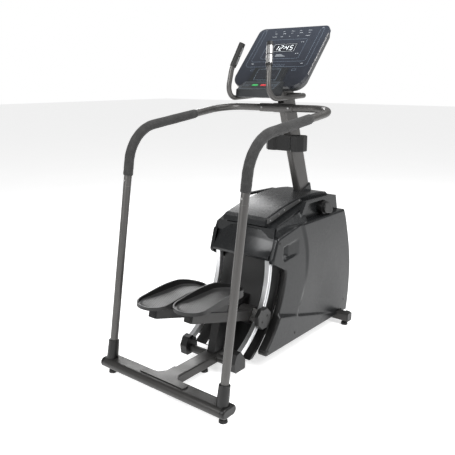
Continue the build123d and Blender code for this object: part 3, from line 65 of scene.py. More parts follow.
class Finish:
    """One node material: a Principled surface, and short ways to add what varies over it."""

    def __init__(self, name, roughness=0.5, metallic=0.0, **sockets):
        self.material = bpy.data.materials.new(name)
        self.material.use_nodes = True
        self.nodes = self.material.node_tree.nodes
        self.surface = self.nodes["Principled BSDF"]
        self.surface.inputs["Roughness"].default_value = roughness
        self.surface.inputs["Metallic"].default_value = metallic
        for socket, value in sockets.items():
            self.surface.inputs[socket.replace("_", " ")].default_value = value
        self.place = self.add("ShaderNodeTexCoord").outputs["Object"]
        self.normal = None

    def add(self, kind, inputs=None, **settings):
        """A new node; inputs maps socket names or numbers to a value or another node's output."""
        node = self.nodes.new(kind)
        for name, value in settings.items():
            setattr(node, name, value)
        for key, value in (inputs or {}).items():
            if isinstance(value, bpy.types.NodeSocket):
                self.material.node_tree.links.new(value, node.inputs[key])
            else:
                node.inputs[key].default_value = value
        return node

    def math(self, operation, *values):
        """The result of a Math node."""
        return self.add("ShaderNodeMath", dict(enumerate(values)), operation=operation).outputs[0]

    def stretched(self, scale, place=None):
        """A place, or the object's coordinates, multiplied by scale along each axis."""
        inputs = {0: place or self.place, 1: scale}
        return self.add("ShaderNodeVectorMath", inputs, operation="MULTIPLY").outputs[0]

    def noise(self, scale, detail=3.0, roughness=0.55, place=None, distortion=0.0):
        """Soft random value around a half; scale is cells per metre."""
        inputs = {"Vector": place or self.place, "Scale": scale, "Detail": detail}
        inputs.update({"Roughness": roughness, "Distortion": distortion})
        return self.add("ShaderNodeTexNoise", inputs).outputs["Fac"]

    def cells(self, scale):
        """Distance in a cell pattern; scale is cells per metre."""
        return self.add("ShaderNodeTexVoronoi", {"Vector": self.place, "Scale": scale}).outputs["Distance"]

    def span(self, value, low, high, to_low=0.0, to_high=1.0):
        """value stretched from low..high to to_low..to_high, and held there beyond."""
        inputs = {0: value, 1: low, 2: high, 3: to_low, 4: to_high}
        return self.add("ShaderNodeMapRange", inputs).outputs[0]

    def blend(self, mask, first, second):
        """Colour first where mask is 0, and second where it is 1."""
        inputs = {0: mask, 6: first, 7: second}
        return self.add("ShaderNodeMix", inputs, data_type="RGBA").outputs[2]

    def rounded_normal(self, radius):
        """The surface's direction as if its edges were rounded to that radius."""
        return self.add("ShaderNodeBevel", {"Radius": radius}, samples=4).outputs[0]

    def edges(self, radius):
        """1 along the convex and concave edges, 0 on the open surface."""
        flat = self.add("ShaderNodeNewGeometry").outputs["Normal"]
        inputs = {0: self.rounded_normal(radius), 1: flat}
        match = self.add("ShaderNodeVectorMath", inputs, operation="DOT_PRODUCT")
        return self.span(match.outputs["Value"], 0.995, 0.85)

    def soften(self, radius):
        """Light rolls round the edges as on a moulded or painted part."""
        self.normal = self.rounded_normal(radius)

    def bump(self, height, distance, strength=1.0):
        """Fine relief; distance is its height in metres."""
        inputs = {"Height": height, "Distance": distance, "Strength": strength}
        if self.normal:
            inputs["Normal"] = self.normal
        self.normal = self.add("ShaderNodeBump", inputs).outputs[0]

    def done(self, colour, roughness):
        """Joins the varying values to the surface and returns the material."""
        wanted = {"Base Color": colour, "Roughness": roughness, "Normal": self.normal}
        for socket, output in wanted.items():
            if output:
                self.material.node_tree.links.new(output, self.surface.inputs[socket])
        return self.material


def grey(value, warmth=0.0):
    """A grey colour, warmer or cooler by warmth."""
    return (value * (1 + warmth), value, value * (1 - warmth), 1.0)


# ---------------------------------------------------------------- materials

def metallic_paint(name, base, metallic=0.55, roughness=0.36):
    """Powder-coated tube: fine metal flake, slight orange peel, lighter worn edges."""
    finish = Finish(name, metallic=metallic)
    flake = finish.span(finish.noise(2600, 2), 0.35, 0.75)
    cloud = finish.noise(9, 4)
    body = finish.blend(flake, grey(base * 0.82, 0.03), grey(base * 1.22, 0.03))
    patches = finish.span(finish.noise(60, 4), 0.42, 0.62)
    worn = finish.math("MULTIPLY", finish.edges(0.0016), patches)
    colour = finish.blend(worn, body, grey(min(base * 2.4, 0.5), 0.02))
    rough = finish.math("ADD", finish.span(cloud, 0.3, 0.7, roughness - 0.05, roughness + 0.07),
                        finish.span(flake, 0, 1, 0.03, -0.03))
    finish.soften(0.0012)
    finish.bump(finish.noise(420, 2), 0.00012, 0.5)
    finish.bump(flake, 0.00002, 0.35)
    return finish.done(colour, rough)


def moulded(name, base, roughness, grain=900, depth=0.00005, warmth=0.0, metallic=0.0):
    """Injection-moulded plastic: fine grain, soft gloss changes, paler rubbed edges, dust."""
    finish = Finish(name, metallic=metallic, Specular_IOR_Level=0.4)
    pores = finish.cells(grain)
    cloud = finish.noise(7, 4)
    dust = finish.span(finish.noise(34, 6, 0.7), 0.5, 0.78)
    body = finish.blend(cloud, grey(base * 0.9, warmth), grey(base * 1.1, warmth))
    dusty = finish.blend(finish.math("MULTIPLY", dust, 0.22), body, grey(base * 1.6 + 0.002, warmth))
    patches = finish.span(finish.noise(90, 4), 0.45, 0.7, 0, 0.8)
    worn = finish.math("MULTIPLY", finish.edges(0.0014), patches)
    colour = finish.blend(worn, dusty, grey(base * 2.2 + 0.004, warmth))
    rough = finish.math("ADD", finish.span(cloud, 0.3, 0.7, roughness - 0.05, roughness + 0.05),
                        finish.span(pores, 0, 0.6, 0.04, -0.04))
    finish.soften(0.0011)
    finish.bump(pores, depth, 0.6)
    finish.bump(finish.noise(26, 2), 0.0003, 0.18)
    return finish.done(colour, rough)


def rubber(name):
    """Moulded rubber: matt, dusty, with a faintly pitted skin."""
    finish = Finish(name, Sheen_Weight=0.1, Sheen_Roughness=0.5)
    dust = finish.span(finish.noise(45, 6, 0.7), 0.48, 0.75)
    colour = finish.blend(dust, grey(0.008), grey(0.02, 0.04))
    rough = finish.span(finish.noise(80, 4), 0.3, 0.7, 0.72, 0.92)
    finish.soften(0.0008)
    finish.bump(finish.noise(1300, 3), 0.00008, 0.6)
    return finish.done(colour, rough)


def foam(name):
    """Closed-cell grip foam: a skin of small cells with a soft sheen, a little polished by hands."""
    finish = Finish(name, Sheen_Weight=0.08, Sheen_Roughness=0.6)
    cell = finish.cells(620)
    mottle = finish.noise(28, 5, 0.65)
    body = finish.blend(finish.span(cell, 0.05, 0.5), grey(0.006), grey(0.017, 0.01))
    colour = finish.blend(finish.span(mottle, 0.45, 0.75, 0, 0.5), body, grey(0.028, 0.02))
    rough = finish.span(mottle, 0.35, 0.7, 0.95, 0.78)
    finish.bump(cell, 0.00055, 0.9)
    finish.bump(finish.noise(55, 3), 0.0009, 0.35)
    return finish.done(colour, rough)


def extruded_aluminium(name, centre_y, centre_z):
    """Clear-anodised rail: die lines and brushing run along the curve, with a few rubbed tracks."""
    finish = Finish(name, metallic=1.0)
    parts = finish.add("ShaderNodeSeparateXYZ", {0: finish.place}).outputs
    along_y = finish.math("SUBTRACT", parts[1], centre_y)
    along_z = finish.math("SUBTRACT", parts[2], centre_z)
    square_y = finish.math("MULTIPLY", along_y, along_y)
    square_z = finish.math("MULTIPLY", along_z, along_z)
    radius = finish.math("SQRT", finish.math("ADD", square_y, square_z))
    angle = finish.math("ARCTAN2", along_z, along_y)
    rolled = finish.add("ShaderNodeCombineXYZ", {0: parts[0], 1: radius, 2: angle}).outputs[0]
    lines = finish.noise(1, 3, 0.6, finish.stretched((2200, 2200, 6), rolled))
    track = finish.noise(1, 2, 0.5, finish.stretched((240, 240, 1.5), rolled))
    colour = finish.blend(lines, (0.62, 0.63, 0.64, 1), (0.88, 0.885, 0.89, 1))
    rough = finish.math("ADD", finish.span(lines, 0.3, 0.7, 0.27, 0.4),
                        finish.span(track, 0.5, 0.75, 0, 0.12))
    finish.soften(0.0008)
    finish.bump(lines, 0.00003, 0.5)
    return finish.done(colour, rough)


def bright_metal(name, base=0.55, roughness=0.28, lines=(60, 60, 1400)):
    """Turned or plated steel with fine machining lines; lines is their number per metre."""
    finish = Finish(name, metallic=1.0)
    turned = finish.noise(1, 3, 0.6, finish.stretched(lines))
    stain = finish.noise(30, 4)
    colour = finish.blend(finish.span(stain, 0.45, 0.75), grey(base), grey(base * 0.75, 0.03))
    rough = finish.span(turned, 0.3, 0.7, roughness - 0.06, roughness + 0.12)
    finish.soften(0.0006)
    finish.bump(turned, 0.00003, 0.5)
    return finish.done(colour, rough)


def cast_iron(name):
    """Cast and oiled iron: pebbled skin, darker in the hollows."""
    finish = Finish(name, metallic=0.8)
    sand = finish.noise(520, 4, 0.65)
    colour = finish.blend(sand, grey(0.06), grey(0.16, 0.03))
    rough = finish.span(finish.noise(40, 4), 0.3, 0.7, 0.4, 0.62)
    finish.bump(sand, 0.0002, 0.7)
    return finish.done(colour, rough)


def overlay_film(name):
    """Printed overlay of the console: deep blue-black, paler to the top, faint fingerprints."""
    finish = Finish(name, Coat_Weight=0.25, Coat_Roughness=0.2)
    parts = finish.add("ShaderNodeSeparateXYZ", {0: finish.place}).outputs
    fade = finish.span(parts[2], 1.40, 1.69)
    smear = finish.noise(22, 5, 0.7, distortion=0.6)
    body = finish.blend(fade, (0.010, 0.012, 0.018, 1), (0.030, 0.036, 0.050, 1))
    colour = finish.blend(finish.span(smear, 0.5, 0.8, 0, 0.15), body, (0.052, 0.058, 0.07, 1))
    rough = finish.span(smear, 0.42, 0.7, 0.3, 0.38)
    finish.soften(0.0012)
    finish.bump(finish.noise(1500, 2), 0.00001, 0.4)
    return finish.done(colour, rough)


def smoked_glass(name):
    """Dark window over the display, with a soft smudge or two."""
    finish = Finish(name, Coat_Weight=1.0, Coat_Roughness=0.03, Specular_IOR_Level=0.6)
    smear = finish.noise(35, 4, 0.6)
    smudges = finish.span(smear, 0.5, 0.75)
    colour = finish.blend(smudges, (0.006, 0.008, 0.013, 1), (0.012, 0.015, 0.022, 1))
    rough = finish.span(smear, 0.45, 0.7, 0.08, 0.2)
    finish.bump(finish.noise(900, 2), 0.000005, 0.3)
    return finish.done(colour, rough)


def ink(name, base, glow=0.0):
    """Screen-printed ink or a lit display dot: slightly uneven cover and edge; glow is the light it gives
    off, the display's own light on a lit dot and painted light on printed ink.
    """
    finish = Finish(name, Emission_Strength=glow, Emission_Color=base)
    grain = finish.noise(1400, 3)
    thin = tuple(channel * 0.8 for channel in base[:3]) + (1,)
    colour = finish.blend(finish.span(grain, 0.35, 0.6), thin, base)
    rough = finish.span(finish.noise(300, 3), 0.3, 0.7, 0.32, 0.5)
    finish.bump(grain, 0.00001, 0.4)
    return finish.done(colour, rough)


def key_plastic(name, dark, light):
    """Coloured keycap, moulded through, a little paler where thumbs rub it."""
    finish = Finish(name, Coat_Weight=0.3, Coat_Roughness=0.2)
    colour = finish.blend(finish.span(finish.noise(120, 3), 0.4, 0.65), dark, light)
    rough = finish.span(finish.noise(180, 3), 0.3, 0.7, 0.3, 0.45)
    finish.soften(0.0006)
    finish.bump(finish.noise(1600, 2), 0.00002, 0.5)
    return finish.done(colour, rough)


def floor_finish(name):
    """Plain pale studio floor with the faintest unevenness."""
    finish = Finish(name, roughness=0.7, Emission_Color=(1, 1, 1, 1), Emission_Strength=0.62)
    cloud = finish.noise(1.5, 3)
    colour = finish.blend(cloud, grey(0.80), grey(0.84))
    return finish.done(colour, finish.span(cloud, 0.3, 0.7, 0.62, 0.78))


arc_centre = (-0.517, 0.516)        # y and z of the curved rails' centre

slots = {
    "frame_paint": metallic_paint("frame_paint", 0.088),
    "base_paint": metallic_paint("base_paint", 0.04, 0.5, 0.34),
    "black_plastic": moulded("black_plastic", 0.006, 0.4),
    "rubber": rubber("rubber"),
    "shroud_plastic": moulded("shroud_plastic", 0.014, 0.3, grain=1100, depth=0.00003, warmth=-0.06,
                              metallic=0.25),
    "trim_plastic": moulded("trim_plastic", 0.075, 0.42, metallic=0.3),
    "foam": foam("grip_foam"),
    "rail_aluminium": extruded_aluminium("rail_aluminium", *arc_centre),
    "pedal_plastic": moulded("pedal_plastic", 0.008, 0.46, grain=700, depth=0.00008),
    "arm_paint": metallic_paint("arm_paint", 0.022, 0.3, 0.42),
    "steel": bright_metal("plated_steel"),
    "cast_iron": cast_iron("cast_iron"),
    "console_plastic": moulded("console_plastic", 0.02, 0.42, warmth=-0.1),
    "display_glass": smoked_glass("display_glass"),
    "key_green": key_plastic("key_green", (0.02, 0.3, 0.07, 1), (0.05, 0.42, 0.12, 1)),
    "key_red": key_plastic("key_red", (0.45, 0.02, 0.03, 1), (0.6, 0.05, 0.06, 1)),
    "grip_plastic": moulded("grip_plastic", 0.013, 0.45, grain=1300),
}
overlay = overlay_film("console_overlay")
# the pale and the bright ink glow faintly: painted light, since printed ink gives off none of its own
pale_ink_with_painted_glow = ink("pale_ink_with_painted_glow", (0.16, 0.20, 0.25, 1), 0.1)
bright_ink_with_painted_glow = ink("bright_ink_with_painted_glow", (0.42, 0.45, 0.48, 1), 0.1)
lit_dots = ink("lit_dots", (0.85, 0.9, 0.92, 1), 0.75)
silver_trim = bright_metal("silver_trim", 0.5, 0.32, (300, 300, 300))
screw_black = metallic_paint("screw_black", 0.012, 0.6, 0.35)
mat_rubber = rubber("mat_rubber")

# ---------------------------------------------------------------- finishes on the CAD nodes

node_slot = {part["node"]: part["material_slot"] for part in frame["record"]["subparts"]}


def paint(name, material):
    """Gives every material slot of a CAD node the material."""
    mesh = nodes[name].data
    if not mesh.materials:
        mesh.materials.append(material)
    for number in range(len(mesh.materials)):
        mesh.materials[number] = material


for name in nodes:
    paint(name, slots[node_slot[name]])


# ---------------------------------------------------------------- shaping tools

def new_piece(name, mesh, material, body="frame", smooth=True):
    """An object in the scene from a mesh or bmesh, riding on a body, with its finish."""
    if isinstance(mesh, bmesh.types.BMesh):
        bmesh.ops.recalc_face_normals(mesh, faces=mesh.faces)
        data = bpy.data.meshes.new(name)
        mesh.to_mesh(data)
        mesh.free()
    else:
        data = mesh
    data.name = name
    data.materials.clear()
    data.materials.append(material)
    data.polygons.foreach_set("use_smooth", [smooth] * len(data.polygons))
    piece = bpy.data.objects.new(name, data)
    bpy.context.scene.collection.objects.link(piece)
    if body:
        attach(piece, body)
    return piece


def box_between(mesh, frame_matrix, low, high, rounding=0.0):
    """Adds a small block to mesh, from low to high in the axes of frame_matrix."""
    size = Vector(high) - Vector(low)
    middle = (Vector(high) + Vector(low)) / 2
    matrix = frame_matrix @ Matrix.Translation(middle) @ Matrix.Diagonal((*size, 1))
    made = bmesh.ops.create_cube(mesh, size=1, matrix=matrix)
    if rounding:
        edges = dict.fromkeys(edge for vertex in made["verts"] for edge in vertex.link_edges)
        bmesh.ops.bevel(mesh, geom=list(edges), offset=rounding, segments=2, affect="EDGES")


def join_rings(mesh, first, second):
    """Adds the band of faces between two rings of the same number of vertices."""
    for number in range(len(first)):
        following = (number + 1) % len(first)
        mesh.faces.new((first[number], first[following], second[following], second[number]))


def swept(mesh, points, radius_at, sides):
    """Adds a tube along points to mesh; radius_at gives the radius at each share of its length."""
    rings = []
    last = len(points) - 1
    side = Vector((1, 0, 0))
    for number, point in enumerate(points):
        along = (points[min(number + 1, last)] - points[max(number - 1, 0)]).normalized()
        side = (side - along * side.dot(along)).normalized()
        other = along.cross(side)
        radius = radius_at(number / last)
        ring = []
        for step in range(sides):
            turn = 2 * math.pi * step / sides
            spoke = side * math.cos(turn) + other * math.sin(turn)
            ring.append(mesh.verts.new(point + spoke * radius))
        rings.append(ring)
    for first, second in zip(rings, rings[1:]):
        join_rings(mesh, first, second)
    mesh.faces.new(list(reversed(rings[0])))
    mesh.faces.new(rings[-1])


def face_frame(origin, right, up):
    """Matrix whose x runs along right, y along up and z out of the face."""
    right, up = Vector(right).normalized(), Vector(up).normalized()
    matrix = Matrix((right, up, right.cross(up))).transposed().to_4x4()
    matrix.translation = Vector(origin)
    return matrix


def smoothstep(low, high, value):
    """0 below low, 1 above high, eased in between."""
    share = min(max((value - low) / (high - low), 0.0), 1.0)
    return share * share * (3 - 2 * share)


def whole_faced_copy(node):
    """A copy of a CAD node's mesh whose flat faces are one piece each."""
    mesh = bmesh.new()
    mesh.from_mesh(nodes[node].data)
    bmesh.ops.remove_doubles(mesh, verts=mesh.verts, dist=0.00002)
    bmesh.ops.dissolve_limit(mesh, angle_limit=math.radians(0.5), verts=mesh.verts, edges=mesh.edges)
    return mesh


def slice_evenly(mesh, low, high, axis, parts):
    """Cuts the faces of mesh into that many equal slices between low and high of one axis."""
    normal = Vector((0, 0, 0))
    normal[axis] = 1
    for number in range(1, parts):
        point = Vector(low)
        point[axis] = low[axis] + number * (high[axis] - low[axis]) / parts
        geometry = mesh.verts[:] + mesh.edges[:] + mesh.faces[:]
        bmesh.ops.bisect_plane(mesh, geom=geometry, plane_co=point, plane_no=normal, dist=0.00001)


# ---------------------------------------------------------------- console print

# u runs to the right from the console's middle and v up its face, from the face's low edge.
console_lean = math.radians(42.8)
console_height = 0.412
ink_height = 0.0002
thick_line, medium_line, thin_line = 0.0014, 0.0012, 0.0009

console_low, console_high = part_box("console_face")
console_up = (0, math.sin(console_lean), math.cos(console_lean))
console_foot = (0, console_low.y, console_high.z - console_height * console_up[2])
console_face = face_frame(console_foot, (1, 0, 0), console_up)

# the raised lower middle of the console, and the sloping key shelf below it
shelf_rear = Vector((0, 0.100, 1.421))
shelf_front = Vector((0, 0.024, 1.381))

segments_of = {0: "abcdef", 1: "bc", 2: "abged", 3: "abgcd", 4: "fgbc", 5: "afgcd",
               6: "afgedc", 7: "abc", 8: "abcdefg", 9: "abcdfg"}


def rectangle(low_u, low_v, high_u, high_v):
    """Corners of a rectangle on a face, in order round it."""
    return [(low_u, low_v), (high_u, low_v), (high_u, high_v), (low_u, high_v)]


def outline_strip(mesh, points, width, matrix, closed=True):
    """Adds a printed line of that width along points on the face."""
    ends = points + points[:1] if closed else points
    half = width / 2
    for (start_u, start_v), (end_u, end_v) in zip(ends, ends[1:]):
        length = math.hypot(end_u - start_u, end_v - start_v)
        angle = math.atan2(end_v - start_v, end_u - start_u)
        turn = Matrix.Translation((start_u, start_v, 0)) @ Matrix.Rotation(angle, 4, "Z")
        box_between(mesh, matrix @ turn, (-half, -half, 0), (length + half, half, ink_height))


def printed_bar(mesh, low_u, low_v, high_u, high_v):
    """Adds a solid printed mark to the console's face."""
    box_between(mesh, console_face, (low_u, low_v, 0), (high_u, high_v, ink_height))


def digit(mesh, number, u, v, width, height, stroke):
    """Adds one slanted seven-segment numeral, made of short bars, to the console's face."""
    half = height / 2
    slant = Matrix(((1, 0.12, 0, 0), (0, 1, 0, 0), (0, 0, 1, 0), (0, 0, 0, 1)))
    place = console_face @ (Matrix.Translation((u, v, 0)) @ slant)
    bars = {
        "a": ((stroke, height - stroke), (width - stroke, height)),
        "b": ((width - stroke, half + stroke / 2), (width, height - stroke)),
        "c": ((width - stroke, stroke), (width, half - stroke / 2)),
        "d": ((stroke, 0), (width - stroke, stroke)),
        "e": ((0, stroke), (stroke, half - stroke / 2)),
        "f": ((0, half + stroke / 2), (stroke, height - stroke)),
        "g": ((stroke, half - stroke / 2), (width - stroke, half + stroke / 2)),
    }
    for name in segments_of[number]:
        low, high = bars[name]
        box_between(mesh, place, (*low, 0), (*high, ink_height))


def console_outlines():
    """Printed outlines: the horseshoe round the display, the display's frame and the key frames."""
    film = bmesh.new()
    horseshoe = [(-0.19, 0.148), (-0.175, 0.132), (0.175, 0.132), (0.19, 0.148), (0.19, 0.392),
                 (0.176, 0.392), (0.168, 0.382), (0.168, 0.18), (0.158, 0.168), (-0.158, 0.168),
                 (-0.168, 0.18), (-0.168, 0.382), (-0.176, 0.392), (-0.19, 0.392)]
    outline_strip(film, horseshoe, medium_line, console_face)
    display_frame = [(-0.118, 0.196), (-0.108, 0.188), (0.108, 0.188), (0.118, 0.196), (0.118, 0.318),
                     (0.112, 0.324), (-0.112, 0.324), (-0.118, 0.318)]
    outline_strip(film, display_frame, medium_line, console_face)
    for u in (-0.128, 0.128):
        outline_strip(film, rectangle(u - 0.012, 0.105, u + 0.012, 0.117), thin_line, console_face)
    for u in (-0.045, -0.015, 0.015, 0.045):
        outline_strip(film, rectangle(u - 0.011, 0.136, u + 0.011, 0.148), thin_line, console_face)
    new_piece("console_outlines", film, pale_ink_with_painted_glow, smooth=False)


def console_marks():
    """Printed marks: rows of plain bars above the display, and small ones round it."""
    marks = bmesh.new()
    bar_height = 0.0026
    rows = ((0.384, (0.006, 0.016, 0.026, 0.018, 0.03)),
            (0.368, (0.02, 0.024, 0.014, 0.028, 0.018)),
            (0.346, (0.04, 0.018, 0.01, 0.012, 0.034)))
    for row, (v, widths) in enumerate(rows):
        for column, width in enumerate(widths):
            u = -0.112 + column * 0.052 + (row % 2) * 0.006
            printed_bar(marks, u, v, u + width * 0.7, v + bar_height)
    for u in (-0.182, 0.172):
        printed_bar(marks, u, 0.398, u + 0.012, 0.4)
        printed_bar(marks, u * 0.86, 0.152, u * 0.86 + 0.016, 0.155)
    for u in (0.088, 0.1):
        for v in (0.22, 0.3):
            printed_bar(marks, u, v, u + 0.006, v + 0.004)
    for v in (0.204, 0.21, 0.216):
        printed_bar(marks, -0.03, v, 0.03 - (v - 0.204) * 2, v + 0.0022)
    outline_strip(marks, rectangle(-0.068, 0.239, 0.068, 0.291), 0.0016, console_face)
    new_piece("console_marks", marks, bright_ink_with_painted_glow, smooth=False)


def display_numerals():
    """A generic lit time on the display: two numerals, a colon and two numerals."""
    lit = bmesh.new()
    pitch = 0.0285
    for place, number in enumerate((1, 2, 4, 5)):
        gap = 0.006 if place > 1 else 0.0
        digit(lit, number, -0.058 + place * pitch + gap, 0.247, width=0.018, height=0.034, stroke=0.003)
    for v in (0.258, 0.27):
        printed_bar(lit, -0.0015, v, 0.0025, v + 0.004)
    new_piece("display_numerals", lit, lit_dots, smooth=False)


def console_side_ribs():
    """Ribbed silver strips let into both long sides of the bezel."""
    ribs = bmesh.new()
    count = 34
    start_v, end_v = 0.085, 0.365
    rib_length = 0.0062
    stand_out = 0.0012
    for sign in (-1, 1):
        side_u = sign * console_high.x
        for number in range(count):
            v = start_v + number * (end_v - start_v) / count
            box_between(ribs, console_face, (side_u - stand_out, v, -0.0135),
                        (side_u + stand_out, v + rib_length, -0.0045), 0.0004)
    new_piece("console_side_ribs", ribs, silver_trim, smooth=False)


def lower_screen():
    """Small screen with its pale outline on the console's raised lower middle."""
    housing_top = console_face @ Vector((0, 0.122, 0.0))
    slope_top = Vector((0, housing_top.y - 0.0262, housing_top.z + 0.002))
    length = (slope_top - shelf_rear).length
    plane = face_frame(shelf_rear, (1, 0, 0), slope_top - shelf_rear)
    screen = bmesh.new()
    box_between(screen, plane, (-0.062, length * 0.16, 0.0), (0.062, length * 0.84, 0.0012), 0.0008)
    new_piece("lower_screen", screen, slots["display_glass"], smooth=False)
    rim = bmesh.new()
    outline_strip(rim, rectangle(-0.068, length * 0.1, 0.068, length * 0.9), thick_line, plane)
    new_piece("lower_screen_outline", rim, pale_ink_with_painted_glow, smooth=False)


def shelf_outlines():
    """Pale outline and arrows printed round the keys on the sloping shelf."""
    plane = face_frame(shelf_rear, (1, 0, 0), shelf_rear - shelf_front)
    lines = bmesh.new()
    outline_strip(lines, rectangle(-0.104, -0.008, 0.104, -0.076), medium_line, plane)
    for u in (-0.078, 0.078):
        outline_strip(lines, rectangle(u - 0.016, -0.049, u + 0.016, -0.031), thin_line, plane)
        arrow = [(u - 0.006, -0.043), (u, -0.036), (u + 0.006, -0.043)]
        outline_strip(lines, arrow, medium_line, plane, closed=False)
    new_piece("shelf_outlines", lines, pale_ink_with_painted_glow, smooth=False)


console_outlines()
console_marks()
display_numerals()
console_side_ribs()
lower_screen()
shelf_outlines()
paint("console_face", overlay)


# ---------------------------------------------------------------- shroud skins

shell_face_x = 0.235                    # how far out the side shells' flat faces stand
shell_grid = 0.006

# the long crease down the side: its foot, its top and how far it bows forward between them
crease_foot_z, crease_top_z = 0.217, 0.684
crease_foot_y, crease_run, crease_bow = 0.138, 0.0104, 0.0645

# the low ledge, from the foot of the crease forward, as (y, z)
ledge_rear = (0.102, 0.197)
ledge_front = (0.531, 0.078)

# the handhold: its rear and front ends, and its lower and upper edges with their slopes
hold_rear, hold_front = 0.002, 0.135
hold_foot_z, hold_foot_slope = 0.529, 0.10
hold_top_z, hold_top_slope = 0.600, 0.19
hold_depth, hold_slot_depth = 0.016, 0.014


def crease_y(z):
    """Where the long crease down the shell's side runs, at height z."""
    share = (z - crease_foot_z) / (crease_top_z - crease_foot_z)
    return crease_foot_y + crease_run * share + crease_bow * 4 * share * (1 - share)


def ledge_z(y):
    """Height of the low ledge that runs forward from the foot of the crease."""
    slope = (ledge_front[1] - ledge_rear[1]) / (ledge_front[0] - ledge_rear[0])
    return ledge_rear[1] + (y - ledge_rear[0]) * slope


def handhold_depth(y, z):
    """Wedge-shaped recess behind the shell's rear shoulder, deepest in a slot at its rear end."""
    ahead = y - hold_rear
    if not -0.01 < ahead < hold_front - hold_rear:
        return 0.0
    top = hold_top_z + ahead * hold_top_slope
    foot = hold_foot_z + ahead * hold_foot_slope
    inside = smoothstep(foot - 0.002, foot + 0.005, z) * smoothstep(top + 0.002, top - 0.005, z)
    rear_wall = smoothstep(-0.003, 0.004, ahead)
    wedge = rear_wall * (hold_front - y) / (hold_front - hold_rear)
    slot = rear_wall * smoothstep(0.045, 0.036, ahead) * smoothstep(foot + 0.01, foot + 0.016, z)
    return inside * (hold_depth * wedge + hold_slot_depth * slot)


def shell_inset(y, z):
    """How far the shell's side is drawn in at (y, z), in metres."""
    over_ledge = z - ledge_z(y)
    behind_crease = crease_y(z) - y
    ahead = smoothstep(-0.004, 0.018, -behind_crease)
    above = smoothstep(-0.004, 0.020, over_ledge)
    rear = 0.010 + 0.016 * min(max(behind_crease / 0.30, 0.0), 1.0)
    lean = smoothstep(0.45, 0.0, over_ledge) * smoothstep(0.66, 0.30, y)
    panel = 0.001 + 0.014 * lean
    skirt = 0.003 * (1 - above)
    inset = rear * (1 - ahead * above) * above + panel * ahead * above
    return inset + skirt + handhold_depth(y, z)


def shell_skin(side, sign):
    """The side shell with its long crease, low ledge and moulded handhold."""
    node = f"{side}_side_shell"
    low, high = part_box(node)
    mesh = whole_faced_copy(node)
    for axis in (1, 2):
        slice_evenly(mesh, low, high, axis, int((high[axis] - low[axis]) / shell_grid) + 1)
    shoulder_z = 0.70
    for vertex in mesh.verts:
        x, y, z = vertex.co
        if z <= shoulder_z:
            share = smoothstep(shell_face_x - 0.040, shell_face_x - 0.006, abs(x))
            vertex.co.x -= sign * shell_inset(y, z) * share
    skin = new_piece(f"{side}_shell_skin", mesh, slots["shroud_plastic"])
    skin.data.set_sharp_from_angle(angle=math.radians(32))
    blacken_rear_band(skin)
    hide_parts(node)


def blacken_rear_band(skin):
    """Gives the black plastic finish to the shell's faces that look towards the steps, between two
    heights.
    """
    skin.data.materials.append(slots["black_plastic"])
    band_foot, band_top = 0.07, 0.475
    band_x = shell_face_x - 0.0035
    for face in skin.data.polygons:
        in_band = band_foot < face.center.z < band_top and abs(face.center.x) < band_x
        if in_band and face.normal.y < -0.35:
            face.material_index = 1


def visor_skin():
    """The rear visor, crowned towards its middle, so that its top edge bows and its ends fall away."""
    low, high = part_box("rear_visor")
    crown, sweep = 0.016, 0.014
    brow_z = 0.648
    mesh = whole_faced_copy("rear_visor")
    for axis, parts in ((0, 36), (2, 16)):
        slice_evenly(mesh, low, high, axis, parts)
    for vertex in mesh.verts:
        across = vertex.co.x / high.x
        upper = smoothstep(low.z + 0.02, brow_z, vertex.co.z)
        vertex.co.z -= crown * across * across * upper
        lower = smoothstep(low.z + 0.004, low.z + 0.05, vertex.co.z)
        vertex.co.y += sweep * across * across * lower
    skin = new_piece("rear_visor_skin", mesh, slots["shroud_plastic"])
    skin.data.set_sharp_from_angle(angle=math.radians(32))
    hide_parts("rear_visor")


def screw_head(mesh, centre, out, radius):
    """Adds a small domed socket screw to mesh, facing out."""
    turn = Vector(out).to_track_quat("Z", "Y").to_matrix().to_4x4()
    turn.translation = Vector(centre)
    socket_depth = 0.0006
    profile = [(radius * 0.42, socket_depth), (radius * 0.46, 0.0016), (radius * 0.8, 0.0013),
               (radius, 0.0004), (radius, -0.001)]
    sides = 18
    rings = []
    for distance, height in profile:
        ring = []
        for step in range(sides):
            angle = 2 * math.pi * step / sides
            point = Vector((distance * math.cos(angle), distance * math.sin(angle), height))
            ring.append(mesh.verts.new(turn @ point))
        rings.append(ring)
    mesh.faces.new(rings[0])
    for first, second in zip(rings, rings[1:]):
        join_rings(mesh, first, second)


def shell_screws():
    """Black screws round the edges of both side shells."""
    screws = bmesh.new()
    for sign in (-1, 1):
        for y, z in ((-0.035, 0.630), (0.648, 0.133), (-0.150, 0.088), (0.10, 0.105)):
            x = shell_face_x - shell_inset(y, z) + 0.0002
            screw_head(screws, (sign * x, y, z), (sign, 0, 0), radius=0.006)
    new_piece("shell_screws", screws, screw_black)


for side, sign in both_sides:
    shell_skin(side, sign)
visor_skin()
shell_screws()


# ---------------------------------------------------------------- handrail foam and straps

rail_x = 0.355
bend_radius = 0.200
foam_radius = 0.0236
foam_front_y = -0.020
upright_lean = math.tan(math.radians(9.6))
rail_slope = math.tan(math.radians(7.1))
upright_foot_y, upright_foot_z = -0.670, 0.082
foam_foot_z = 0.981
bend_corner_z = 1.196


def upright_at(z):
    """y and z of the upright's centre line at height z."""
    return (upright_foot_y + (z - upright_foot_z) * upright_lean, z)


